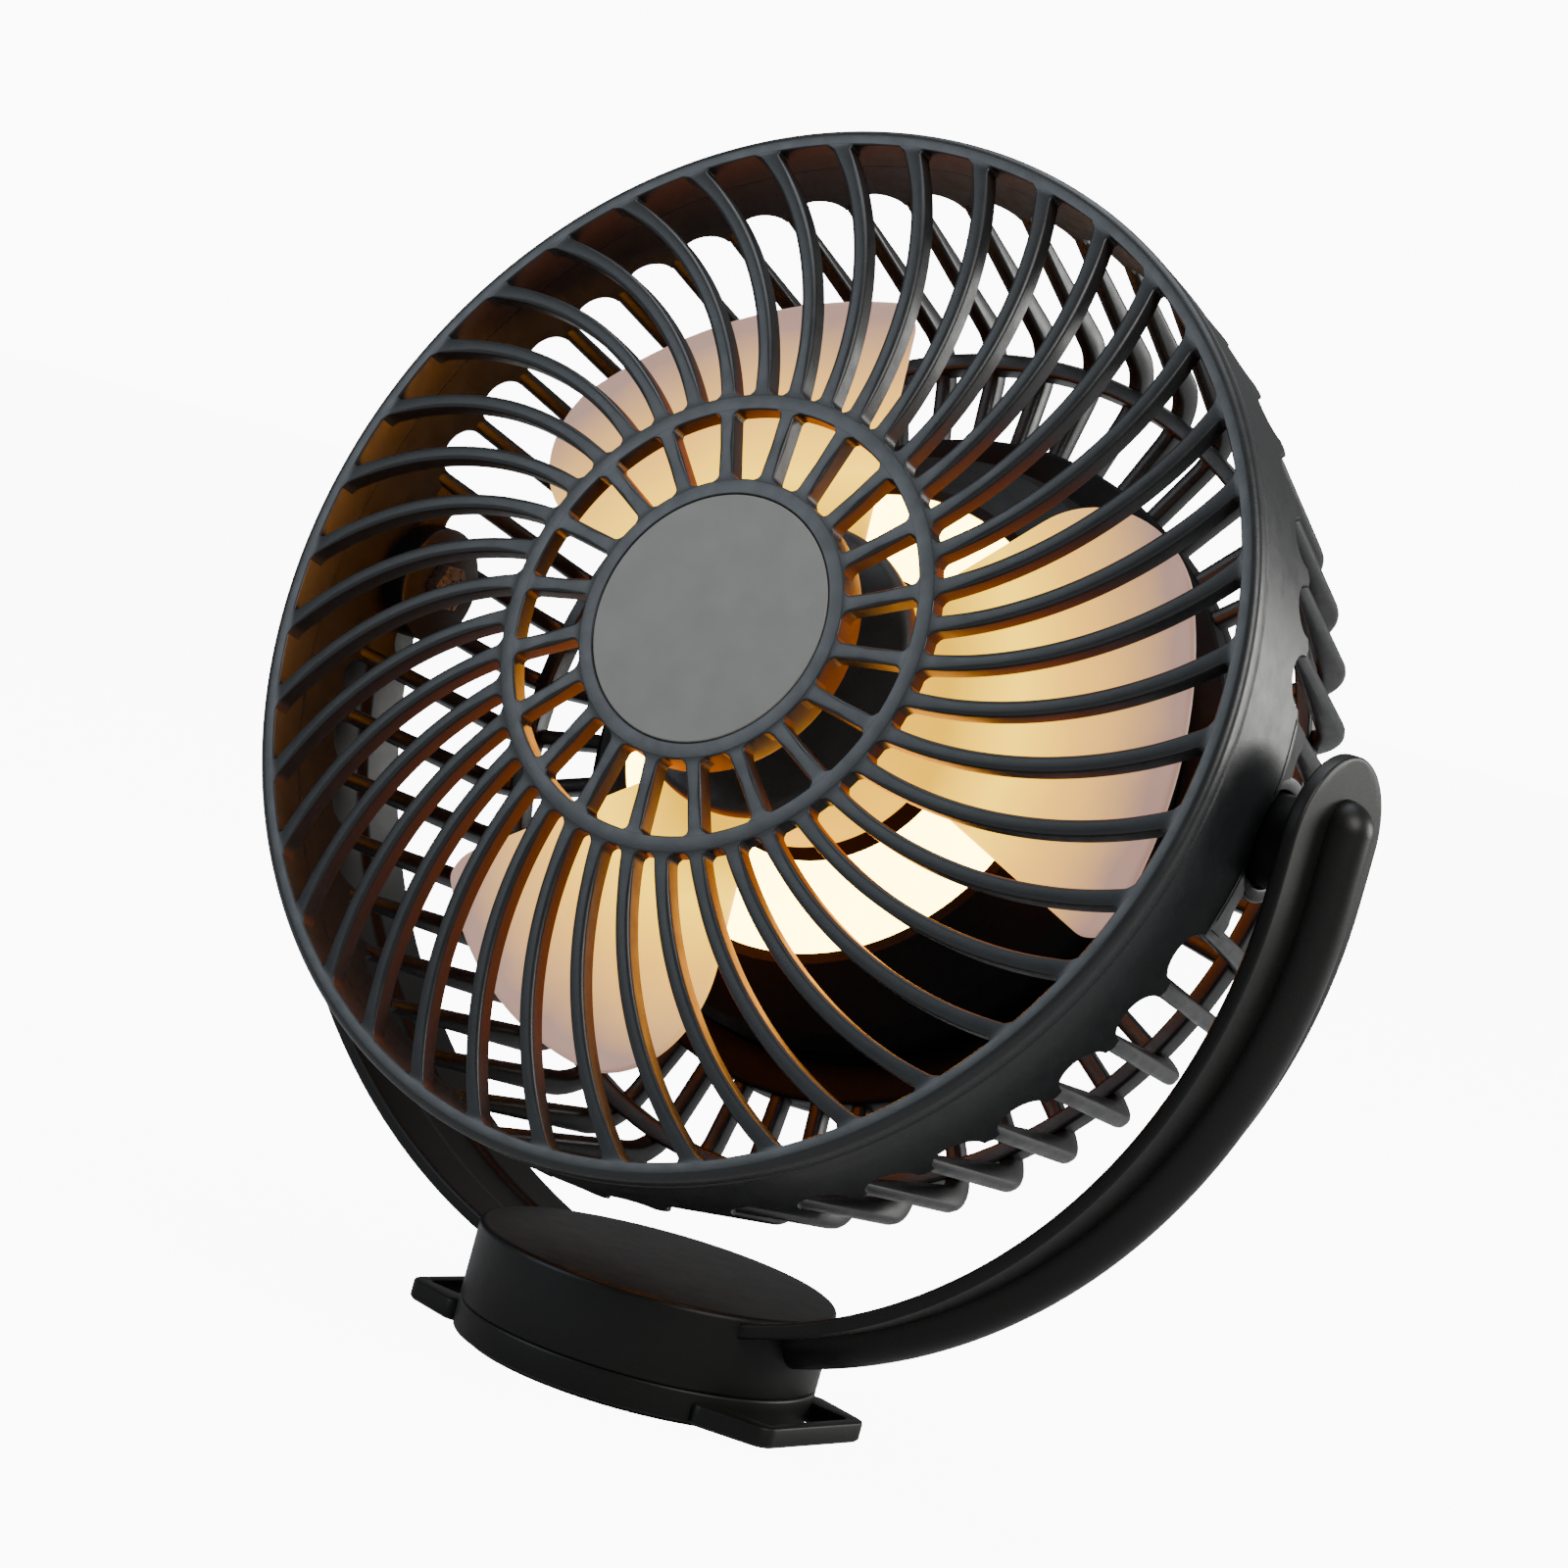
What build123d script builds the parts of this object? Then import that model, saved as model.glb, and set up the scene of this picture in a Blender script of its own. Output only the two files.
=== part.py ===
from build123d import *
import os
from math import cos, hypot, pi, radians, sin, sqrt, tan

# Golf cart fan with a lamp, on a strap-down base. Millimetres, +Z up, origin on the ground under the base.
# The head's pieces are drawn about the fan axis with the origin on the tilt axis: +Z is the fan's front,
# +Y its top. tilted() sets them at the rest angle. Clock angles are in degrees from the top, as seen in front.

# Stance
REST_TILT = 15.0            # degrees that the head looks up at rest

# Fits
SLIP = 0.1                  # radial gap between fixed pieces that slip together
SEAT = 0.02                 # radial gap of a bearing in its seat
RUN = 0.04                  # radial running gap on a shaft or bolt
PLAY = 0.3                  # gap beside a part that moves

# Front grille
OPENING_R = 80.0            # outer ends of the windows, and the bore of the band
RIM_WIDTH = 2.8             # rim outside the windows, and the wall of the band
RIM_DEPTH = 3.0
RIM_ROUND = 1.0
FRONT_Z = 27.2              # front of the rim, ahead of the tilt axis
DOME_RISE = 7.2             # rise of the grille from its rim to its middle
RIB_COUNT = 40
RIB_WIDTH = 2.7
RIB_DEPTH = 3.2
RIB_START = 4.5             # clock angle of the first rib at the rim
RIB_SWEEP = 18.0            # degrees that a rib turns from the rim to the inner ring
RIB_MID_SWEEP = 10.6        # degrees that it has turned half way in
RIB_LEAD = 1.0              # degrees that its line runs on under the rim
RIB_TAIL = 0.6              # degrees that its line runs on under the ring
INNER_RING_R = 36.0
INNER_RING_WIDTH = 1.9
INNER_RIB_COUNT = 20
INNER_RIB_WIDTH = 2.1
INNER_RIB_START = 13.5
INNER_RIB_LEAN = 3.5
CENTRE_R = 22.0             # plate in the middle of the grille
CENTRE_DEPTH = 6.0
CAP_R = 19.4
CAP_THICK = 1.8
SPIGOT_LENGTH = 4.0         # skirt of the rim that enters the band
SPIGOT_WALL = 1.2

# Rear cage
PARTING_GAP = 0.3           # shadow line between rim and band
BAND_STEP = 0.3             # the band is this much slimmer behind its crease
BAND_CREASE_Z = 18.4
BAND_END_Z = 6.7            # line through the middles of the round window tops
WINDOW_CORNER = 2.2
CAGE_RIBS = 48
CAGE_RIB_WIDTH = 2.7
CAGE_RIB_DEPTH = 4.5
CAGE_TAPER = 7.5            # the lines of side and back meet this far inside the band
CAGE_BACK_Z = -33.0
CAGE_CORNER_SHARE = 0.52    # corner round of a rib, as a share of the back's width
MID_RING_BACK = 3.8         # middle ring inside that corner
MID_RING_WIDTH = 2.6
MID_RING_DEPTH = 3.0
MID_RING_INSET = 0.6
SEAT_RING_WIDTH = 6.4       # ring of the cage that seats on the housing
SEAT_RING_DEPTH = 5.0

# Tilt pivots
PAD_WINDOWS = 3             # side windows that are shortened beside a pivot
PAD_END_Z = -4.0
PAD_BOSS_R = 9.4
PAD_REACH = 4.5             # pad inside the band's bore
POCKET_R = 7.2
POCKET_REACH = 0.8          # pocket's floor inside the band's bore
PIVOT_BOLT_R = 2.05
PIVOT_HEAD_R = 4.0
PIVOT_HEAD_THICK = 2.2
PIVOT_BOLT_DEPTH = 7.6      # thread in the yoke's boss

# Motor housing drum
DRUM_WALL = 2.2
DRUM_FRONT_Z = -9.5
SHOULDER_Z = -19.0          # where the sloping front meets the side
FLANGE_REACH = 6.5          # flange outside the drum
FLANGE_THICK = 2.0
LENS_IN_R = 25.3
LENS_OUT_R = 37.7
LENS_IN_Z = -7.2
LENS_OUT_Z = -8.7
LENS_WALL = 1.6
LAMP_GAP = 3.6              # from the lens's outer edge back to the lamp board
BOARD_THICK = 1.6
LAMP_COUNT = 12
LAMP_SIZE = 2.8
LAMP_RISE = 0.8
LAMP_LIP = 1.6              # walls beside the lens

# Back cover
COVER_STEP = 0.6            # the cover is this much wider than the drum
COVER_ROUND = 3.5
POST_WIDTH = 5.0
POST_IN_X = 6.5             # posts inside the cradle's edges
POST_IN_Y = 5.3

# Motor
MOTOR_R = 13.5
MOTOR_WALL = 1.2
MOTOR_FRONT_Z = 2.0
MOTOR_BACK_Z = -22.0
MOTOR_FLANGE_R = 18.4
MOTOR_FLANGE_THICK = 2.0
SHAFT_R = 2.0
SHAFT_COVER = 2.6           # front of the hub ahead of the shaft's end
BEARING_R = 5.0
BEARING_WIDTH = 3.0

# Impeller
HUB_R = 22.4
HUB_WALL = 1.8
HUB_BACK_Z = -4.5
HUB_FRONT_Z = 12.4
HUB_WEB = 2.0
BOSS_R = 6.0
BOSS_CLEAR = 0.6            # boss ahead of the motor
BLADE_COUNT = 3
BLADE_GAP = 12.0            # tips inside the band's bore
BLADE_START = 43.0          # clock angle of a trailing edge
BLADE_SPAN = 68.0           # degrees from trailing edge to leading edge
BLADE_THICK = 1.8
BLADE_CAMBER = 1.6
BLADE_ROOT_LEAD_Z = -2.4
BLADE_ROOT_TRAIL_Z = 10.2
BLADE_TIP_LEAD_Z = 3.2
BLADE_TIP_TRAIL_Z = 15.6
BLADE_TRAIL_ROUND = 19.0
BLADE_LEAD_ROUND = 6.0
HUB_CAP_LIP = 1.2           # cap outside the hub
HUB_CAP_THICK = 2.8
HUB_CAP_ROUND = 1.6

# Battery and controls
CELL_R = 9.2
CELL_LENGTH = 65.0
CELL_COUNT = 3
CELL_PITCH = 19.0
CELL_GAP = 1.0              # behind the motor
CRADLE_FLOOR = 1.5
CRADLE_DEPTH = 9.5
CRADLE_END = 1.9
CRADLE_SIDE = 1.0
CRADLE_CLEAR = 1.937        # cradle's corners inside the drum's wall
BOARD_HALF_WIDTH = 12.0
BOARD_TOP_Y = 14.0
BOARD_CLEAR = 2.8           # board's lower edge inside the cover's wall
BUTTON_R = 4.4
BUTTON_X = 8.5
BUTTON_PROUD = 1.0
BUTTON_FLANGE = 1.1
BUTTON_FLANGE_THICK = 0.8
BUTTON_TRAVEL = 0.6
SWITCH_SIZE = 6.0
SWITCH_HEIGHT = 1.7
SWITCH_CLEAR = 0.1          # left between button and switch at the end of the travel
SOCKET_WIDTH = 9.0
SOCKET_HEIGHT = 3.2
SOCKET_LENGTH = 7.3
SOCKET_SHELL = 0.35
SOCKET_INSET = 0.7          # mouth behind the cover's outside
TONGUE_WIDTH = 6.6
TONGUE_THICK = 0.7

# Yoke
YOKE_CLEAR = 5.8            # strap outside the rim
YOKE_THICK = 3.6
YOKE_WIDTH = 26.4
YOKE_DROP = 5.8             # centre of its bow below the tilt axis
YOKE_SINK = 4.7             # inside of its bow below the puck's top
EAR_RISE = 1.5              # centre of its round ends above the tilt axis
YOKE_ROUND = 1.0
SPINE_RISE = 3.4            # raised rib along the outside
SPINE_R = 5.2               # round of the spine
SPINE_TIP = 3.9             # centre of the spine's round tip above the tilt axis
YOKE_BOSS_R = 6.9

# Base
BASE_R = 28.4
BASE_HEIGHT = 17.9
PLATE_TOP_Z = 5.6
PLATE_FOOT_Z = 0.8
LOOP_REACH = 6.8            # strap loops beyond the base
LOOP_BAR = 2.2
LOOP_TOP_Z = 4.0
LOOP_HALF = 13.8
LOOP_ROOT_HALF = 16.6
SLOT_END = 2.4              # loop's bars beside the slot
PAD_EDGE = 2.0              # foot pad inside the base's edge
SWIVEL_BOLT_R = 3.0
SWIVEL_HEAD_R = 5.6
SWIVEL_HEAD_THICK = 1.7
SWIVEL_WELL_R = 7.2
SWIVEL_WEB = 2.4
SWIVEL_BOLT_DEPTH = 8.6     # thread in the puck

# Worked out from the sizes above
RIM_R = OPENING_R + RIM_WIDTH
RIM_BACK_Z = FRONT_Z - RIM_DEPTH
DOME_R = (OPENING_R**2 + DOME_RISE**2) / (2 * DOME_RISE)
BAND_FRONT_Z = RIM_BACK_Z - PARTING_GAP
BAND_SIDE_R = RIM_R - BAND_STEP
CAGE_BACK_R = BAND_SIDE_R - CAGE_TAPER
MID_RING_R = CAGE_BACK_R - MID_RING_BACK
PAD_INNER_X = OPENING_R - PAD_REACH
POCKET_FLOOR_X = OPENING_R - POCKET_REACH
CAGE_PITCH = 360 / CAGE_RIBS
WINDOW_WIDTH = 2 * pi * BAND_SIDE_R / CAGE_RIBS - CAGE_RIB_WIDTH
CRADLE_HALF_Y = (CELL_COUNT - 1) / 2 * CELL_PITCH + CELL_R + SLIP + CRADLE_SIDE
CRADLE_HALF_X = CELL_LENGTH / 2 + SLIP + CRADLE_END
DRUM_R = hypot(CRADLE_HALF_X, CRADLE_HALF_Y) + CRADLE_CLEAR + DRUM_WALL
FLANGE_R = DRUM_R + FLANGE_REACH
SEAT_IN_R = DRUM_R + SLIP
SEAT_OUT_R = SEAT_IN_R + SEAT_RING_WIDTH
CAGE_CORNER_R = CAGE_CORNER_SHARE * (CAGE_BACK_R - SEAT_OUT_R)
LAMP_BOARD_Z = LENS_OUT_Z - LAMP_GAP
LAMP_FLOOR_Z = LAMP_BOARD_Z - BOARD_THICK
DRUM_END_Z = CAGE_BACK_Z - FLANGE_THICK
COVER_FLANGE_Z = DRUM_END_Z - FLANGE_THICK
COVER_R = DRUM_R + COVER_STEP
COVER_IN_R = COVER_R - DRUM_WALL
MOTOR_MOUNT_Z = DRUM_FRONT_Z - DRUM_WALL
CELL_Z = MOTOR_BACK_Z - CELL_GAP - CELL_R
CRADLE_BACK_Z = CELL_Z - CELL_R - CRADLE_FLOOR
BOARD_BACK_Z = CRADLE_BACK_Z - BOARD_THICK
BOARD_LOW_Y = BOARD_CLEAR - COVER_IN_R
SWITCH_BACK_Z = BOARD_BACK_Z - SWITCH_HEIGHT
BUTTON_FLANGE_Z = SWITCH_BACK_Z - SWITCH_CLEAR - BUTTON_TRAVEL - BUTTON_FLANGE_THICK
COVER_IN_Z = BUTTON_FLANGE_Z - SLIP
COVER_BACK_Z = COVER_IN_Z - DRUM_WALL
SHAFT_FRONT_Z = HUB_FRONT_Z - SHAFT_COVER
BOSS_BACK_Z = MOTOR_FRONT_Z + BOSS_CLEAR
BLADE_TIP_R = OPENING_R - BLADE_GAP
HUB_CAP_R = HUB_R + HUB_CAP_LIP
YOKE_IN_R = RIM_R + YOKE_CLEAR
YOKE_OUT_R = YOKE_IN_R + YOKE_THICK
PIVOT_HEIGHT = BASE_HEIGHT - YOKE_SINK + YOKE_IN_R + YOKE_DROP
BOW_Z = PIVOT_HEIGHT - YOKE_DROP
EAR_Z = PIVOT_HEIGHT + EAR_RISE
BOSS_END_X = POCKET_FLOOR_X
PUCK_Z = PLATE_TOP_Z
LOOP_X = BASE_R + LOOP_REACH
SLOT_HALF = LOOP_HALF - SLOT_END
SWIVEL_WELL_Z = PLATE_TOP_Z - SWIVEL_WEB

HEAD = Plane(
    origin=(0, 0, PIVOT_HEIGHT),
    x_dir=(1, 0, 0),
    z_dir=(0, -cos(radians(REST_TILT)), sin(radians(REST_TILT))),
)

os.makedirs("parts", exist_ok=True)


def write(piece, name):
    """Label a finished piece and write it under its node's name."""
    piece.label = name
    export_step(piece, f"parts/{name}.step")


def tilted(piece):
    """Set a piece of the head at its rest angle."""
    return piece.moved(HEAD.location)


def on_clock(radius, clock, height=0.0):
    """Point at a clock angle about the fan axis."""
    angle = radians(90 - clock)
    return (radius * cos(angle), radius * sin(angle), height)


def dome_z(radius):
    """Height of the grille's front at a radius."""
    return FRONT_Z + sqrt(DOME_R**2 - min(radius, OPENING_R) ** 2) - (DOME_R - DOME_RISE)


def cage_r(height):
    """Radius of the outside of the cage's ribs at a height."""
    share = (BAND_END_Z - height) / (BAND_END_Z - CAGE_BACK_Z)
    return BAND_SIDE_R + (CAGE_BACK_R - BAND_SIDE_R) * share


def ring(r_in, r_out, z_low, z_high):
    """Plain ring about the fan axis."""
    with BuildPart() as solid:
        with BuildSketch(Plane.XY.offset(z_low)):
            Circle(r_out)
            Circle(r_in, mode=Mode.SUBTRACT)
        extrude(amount=z_high - z_low)
    return solid.part


# Front grille: a domed shell with a rim, a ring and a centre plate, cut into swirling ribs by its windows
middle_r = (OPENING_R + INNER_RING_R) / 2
ring_in_r = INNER_RING_R - INNER_RING_WIDTH
with BuildLine() as rib_line:
    ThreePointArc(
        on_clock(RIM_R, RIB_START - RIB_LEAD),
        on_clock(middle_r, RIB_START + RIB_MID_SWEEP),
        on_clock(ring_in_r, RIB_START + RIB_SWEEP + RIB_TAIL),
    )
with BuildSketch() as outer_windows:
    Circle(OPENING_R)
    Circle(INNER_RING_R, mode=Mode.SUBTRACT)
    with BuildSketch(mode=Mode.PRIVATE) as rib_plan:
        trace(rib_line.line, RIB_WIDTH)
    with PolarLocations(0, RIB_COUNT):
        add(rib_plan.sketch, mode=Mode.SUBTRACT)

with BuildLine() as short_line:
    Line(
        on_clock(INNER_RING_R, INNER_RIB_START),
        on_clock(CENTRE_R - INNER_RIB_WIDTH, INNER_RIB_START + INNER_RIB_LEAN),
    )
with BuildSketch() as inner_windows:
    Circle(ring_in_r)
    Circle(CENTRE_R, mode=Mode.SUBTRACT)
    with BuildSketch(mode=Mode.PRIVATE) as short_plan:
        trace(short_line.line, INNER_RIB_WIDTH)
    with PolarLocations(0, INNER_RIB_COUNT):
        add(short_plan.sketch, mode=Mode.SUBTRACT)

plate_back_z = dome_z(CENTRE_R) - CENTRE_DEPTH
spigot_z = RIM_BACK_Z - SPIGOT_LENGTH
cap_floor_z = dome_z(CAP_R) - CAP_THICK
with BuildPart() as front_grille:
    with BuildSketch(Plane.XZ) as grille_profile:
        with BuildLine():
            ThreePointArc((0, dome_z(0)), (middle_r, dome_z(middle_r)), (OPENING_R, FRONT_Z))
            Polyline(
                (OPENING_R, FRONT_Z),
                (RIM_R, FRONT_Z),
                (RIM_R, RIM_BACK_Z),
                (OPENING_R + SPIGOT_WALL, RIM_BACK_Z),
                (OPENING_R + SPIGOT_WALL, spigot_z),
                (OPENING_R, spigot_z),
                (OPENING_R, FRONT_Z - RIB_DEPTH),
            )
            ThreePointArc(
                (OPENING_R, FRONT_Z - RIB_DEPTH),
                (middle_r, dome_z(middle_r) - RIB_DEPTH),
                (CENTRE_R, dome_z(CENTRE_R) - RIB_DEPTH),
            )
            Polyline(
                (CENTRE_R, dome_z(CENTRE_R) - RIB_DEPTH),
                (CENTRE_R, plate_back_z),
                (0, plate_back_z),
                (0, dome_z(0)),
            )
        make_face()
        chamfer(grille_profile.vertices().sort_by_distance((RIM_R, FRONT_Z))[0], RIM_ROUND)
    revolve(axis=Axis.Z)
    extrude(outer_windows.sketch, amount=2 * FRONT_Z, mode=Mode.SUBTRACT)
    extrude(inner_windows.sketch, amount=2 * FRONT_Z, mode=Mode.SUBTRACT)
    with BuildSketch(Plane.XY.offset(cap_floor_z)):
        Circle(CAP_R + SLIP)
    extrude(amount=DOME_RISE, mode=Mode.SUBTRACT)
write(tilted(front_grille.part), "front_grille")

# Centre cap: a plain domed disc let into the grille
with BuildPart() as centre_cap:
    with BuildSketch(Plane.XZ):
        with BuildLine():
            Line((0, dome_z(0)), (0, cap_floor_z))
            Line((0, cap_floor_z), (CAP_R, cap_floor_z))
            Line((CAP_R, cap_floor_z), (CAP_R, dome_z(CAP_R)))
            ThreePointArc((CAP_R, dome_z(CAP_R)), (CAP_R / 2, dome_z(CAP_R / 2)), (0, dome_z(0)))
        make_face()
    revolve(axis=Axis.Z)
write(tilted(centre_cap.part), "centre_cap")

# Rear cage: band with round-topped windows, ribs that turn in onto the back, rings and a tilt pad on each side
rib_top_z = BAND_END_Z + RIM_WIDTH
rib_front_z = CAGE_BACK_Z + CAGE_RIB_DEPTH
rib_end_r = SEAT_OUT_R - RIM_WIDTH
with BuildPart() as cage_rib:
    with BuildSketch(Plane.XZ) as cage_rib_outline:
        with BuildLine():
            Polyline(
                (BAND_SIDE_R - BAND_STEP, rib_top_z),
                (OPENING_R + BAND_STEP, rib_top_z),
                (MID_RING_R - MID_RING_WIDTH, rib_front_z),
                (rib_end_r, rib_front_z),
                (rib_end_r, CAGE_BACK_Z),
                (CAGE_BACK_R, CAGE_BACK_Z),
                close=True,
            )
        make_face()
        corners = cage_rib_outline.vertices()
        fillet(corners.sort_by_distance((CAGE_BACK_R, CAGE_BACK_Z))[0], CAGE_CORNER_R)
    extrude(amount=CAGE_RIB_WIDTH / 2, both=True)

pad_angle = PAD_WINDOWS / 2 * CAGE_PITCH
with BuildPart() as tilt_pad:
    with BuildSketch(Plane.XZ):
        with BuildLine():
            Polyline(
                (BAND_SIDE_R, BAND_END_Z),
                (OPENING_R, BAND_END_Z),
                (cage_r(PAD_END_Z) - RIM_WIDTH, PAD_END_Z),
                (cage_r(PAD_END_Z), PAD_END_Z),
                close=True,
            )
        make_face()
    revolve(axis=Axis.Z)
    with Locations((RIM_R, 0, 0)):
        Box(RIM_R, 2 * BAND_SIDE_R * sin(radians(pad_angle)), RIM_R, mode=Mode.INTERSECT)
    with BuildSketch(Plane.YZ.offset(PAD_INNER_X)):
        Circle(PAD_BOSS_R)
    extrude(amount=cage_r(0) - PAD_INNER_X)
    mirror(about=Plane.YZ)

with BuildPart() as rear_cage:
    with BuildSketch(Plane.XZ):
        with BuildLine():
            Polyline(
                (OPENING_R, BAND_END_Z),
                (BAND_SIDE_R, BAND_END_Z),
                (BAND_SIDE_R, BAND_CREASE_Z),
                (RIM_R, BAND_CREASE_Z + BAND_STEP),
                (RIM_R, BAND_FRONT_Z),
                (OPENING_R + SPIGOT_WALL + SLIP, BAND_FRONT_Z),
                (OPENING_R + SPIGOT_WALL + SLIP, spigot_z - SLIP),
                (OPENING_R, spigot_z - SLIP),
                close=True,
            )
        make_face()
    revolve(axis=Axis.Z)
    for window in range(CAGE_RIBS):
        angle = window * CAGE_PITCH
        from_pad = min(angle % 180, 180 - angle % 180)
        if from_pad > pad_angle:
            turned = Plane.YZ.rotated((0, 0, angle)).offset(OPENING_R - RIM_WIDTH)
            with BuildSketch(turned):
                with BuildLine():
                    Polyline(
                        (-WINDOW_WIDTH / 2, BAND_END_Z - RIM_WIDTH),
                        (-WINDOW_WIDTH / 2, BAND_END_Z + WINDOW_WIDTH / 2 - WINDOW_CORNER),
                        (-WINDOW_WIDTH / 2 + WINDOW_CORNER, BAND_END_Z + WINDOW_WIDTH / 2),
                        (WINDOW_WIDTH / 2 - WINDOW_CORNER, BAND_END_Z + WINDOW_WIDTH / 2),
                        (WINDOW_WIDTH / 2, BAND_END_Z + WINDOW_WIDTH / 2 - WINDOW_CORNER),
                        (WINDOW_WIDTH / 2, BAND_END_Z - RIM_WIDTH),
                        close=True,
                    )
                make_face()
    extrude(amount=3 * RIM_WIDTH, mode=Mode.SUBTRACT)
    mid_ring_z = CAGE_BACK_Z + MID_RING_INSET
    add(ring(MID_RING_R - MID_RING_WIDTH, MID_RING_R, mid_ring_z, mid_ring_z + MID_RING_DEPTH))
    add(ring(SEAT_IN_R, SEAT_OUT_R, CAGE_BACK_Z, CAGE_BACK_Z + SEAT_RING_DEPTH))
    with PolarLocations(0, CAGE_RIBS, start_angle=CAGE_PITCH / 2):
        add(cage_rib.part)
    add(tilt_pad.part)
    for side in (1, -1):
        with BuildSketch(Plane.YZ.offset(side * POCKET_FLOOR_X)):
            Circle(POCKET_R)
        extrude(amount=side * RIM_R, mode=Mode.SUBTRACT)
        with BuildSketch(Plane.YZ.offset(side * PAD_INNER_X)):
            Circle(PIVOT_BOLT_R + RUN)
        extrude(amount=side * RIM_R, mode=Mode.SUBTRACT)
        with BuildSketch(Plane.YZ.offset(side * PAD_INNER_X)):
            Circle(PAD_BOSS_R)
        extrude(amount=-side * PAD_BOSS_R, mode=Mode.SUBTRACT)
write(tilted(rear_cage.part), "rear_cage")

# Motor housing: the drum behind the blades, with the lamp's channel in its front
channel_in_r = LENS_IN_R - SLIP
channel_out_r = LENS_OUT_R + SLIP
inner_floor_z = LAMP_FLOOR_Z - DRUM_WALL
with BuildPart() as motor_housing:
    with BuildSketch(Plane.XZ) as drum_profile:
        with BuildLine():
            Polyline(
                (MOTOR_R + SLIP, DRUM_FRONT_Z),
                (channel_in_r - LAMP_LIP, DRUM_FRONT_Z),
                (channel_in_r - LAMP_LIP, LENS_IN_Z),
                (channel_in_r, LENS_IN_Z),
                (channel_in_r, LAMP_FLOOR_Z),
                (channel_out_r, LAMP_FLOOR_Z),
                (channel_out_r, LENS_OUT_Z),
                (channel_out_r + LAMP_LIP, LENS_OUT_Z),
                (DRUM_R, SHOULDER_Z),
                (DRUM_R, CAGE_BACK_Z),
                (FLANGE_R, CAGE_BACK_Z),
                (FLANGE_R, DRUM_END_Z),
                (DRUM_R - DRUM_WALL, DRUM_END_Z),
                (DRUM_R - DRUM_WALL, SHOULDER_Z - DRUM_WALL / 2),
                (channel_out_r + LAMP_LIP, inner_floor_z),
                (channel_in_r - LAMP_LIP, inner_floor_z),
                (channel_in_r - LAMP_LIP, MOTOR_MOUNT_Z),
                (MOTOR_R + SLIP, MOTOR_MOUNT_Z),
                close=True,
            )
        make_face()
        chamfer(drum_profile.vertices().sort_by_distance((DRUM_R, SHOULDER_Z))[0], DRUM_WALL)
    revolve(axis=Axis.Z)
write(tilted(motor_housing.part), "motor_housing")

# Lamp: milky ring lens with two feet, and the board behind it
with BuildPart() as lamp_lens:
    with BuildSketch(Plane.XZ):
        with BuildLine():
            Polyline(
                (LENS_IN_R, LENS_IN_Z),
                (LENS_OUT_R, LENS_OUT_Z),
                (LENS_OUT_R, LAMP_BOARD_Z),
                (LENS_OUT_R - LENS_WALL, LAMP_BOARD_Z),
                (LENS_OUT_R - LENS_WALL, LENS_OUT_Z - LENS_WALL),
                (LENS_IN_R + LENS_WALL, LENS_IN_Z - LENS_WALL),
                (LENS_IN_R + LENS_WALL, LAMP_BOARD_Z),
                (LENS_IN_R, LAMP_BOARD_Z),
                close=True,
            )
        make_face()
    revolve(axis=Axis.Z)
write(tilted(lamp_lens.part), "lamp_lens")

with BuildPart() as lamp_board:
    add(ring(LENS_IN_R, LENS_OUT_R, LAMP_FLOOR_Z, LAMP_BOARD_Z))
    with BuildSketch(Plane.XY.offset(LAMP_BOARD_Z)):
        with PolarLocations((LENS_IN_R + LENS_OUT_R) / 2, LAMP_COUNT):
            Rectangle(LAMP_SIZE, LAMP_SIZE)
    extrude(amount=LAMP_RISE)
write(tilted(lamp_board.part), "lamp_board")

# Motor: a closed can with its mounting flange, its front bearing and its shaft
bearing_z = MOTOR_FRONT_Z - BEARING_WIDTH
with BuildPart() as motor_can:
    with BuildSketch(Plane.XZ):
        with BuildLine():
            Polyline(
                (0, MOTOR_BACK_Z),
                (MOTOR_R, MOTOR_BACK_Z),
                (MOTOR_R, MOTOR_MOUNT_Z - MOTOR_FLANGE_THICK),
                (MOTOR_FLANGE_R, MOTOR_MOUNT_Z - MOTOR_FLANGE_THICK),
                (MOTOR_FLANGE_R, MOTOR_MOUNT_Z),
                (MOTOR_R, MOTOR_MOUNT_Z),
                (MOTOR_R, MOTOR_FRONT_Z),
                (BEARING_R + SEAT, MOTOR_FRONT_Z),
                (BEARING_R + SEAT, bearing_z),
                (SHAFT_R + PLAY, bearing_z),
                (SHAFT_R + PLAY, MOTOR_BACK_Z + MOTOR_WALL),
                (0, MOTOR_BACK_Z + MOTOR_WALL),
                close=True,
            )
        make_face()
    revolve(axis=Axis.Z)
write(tilted(motor_can.part), "motor_can")

write(tilted(ring(SHAFT_R + RUN, BEARING_R, bearing_z, MOTOR_FRONT_Z)), "motor_bearing")

with BuildPart() as motor_shaft:
    with BuildSketch(Plane.XY.offset(MOTOR_BACK_Z + MOTOR_WALL + PLAY)):
        Circle(SHAFT_R)
    extrude(amount=SHAFT_FRONT_Z - MOTOR_BACK_Z - MOTOR_WALL - PLAY)
write(tilted(motor_shaft.part), "motor_shaft")


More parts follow.
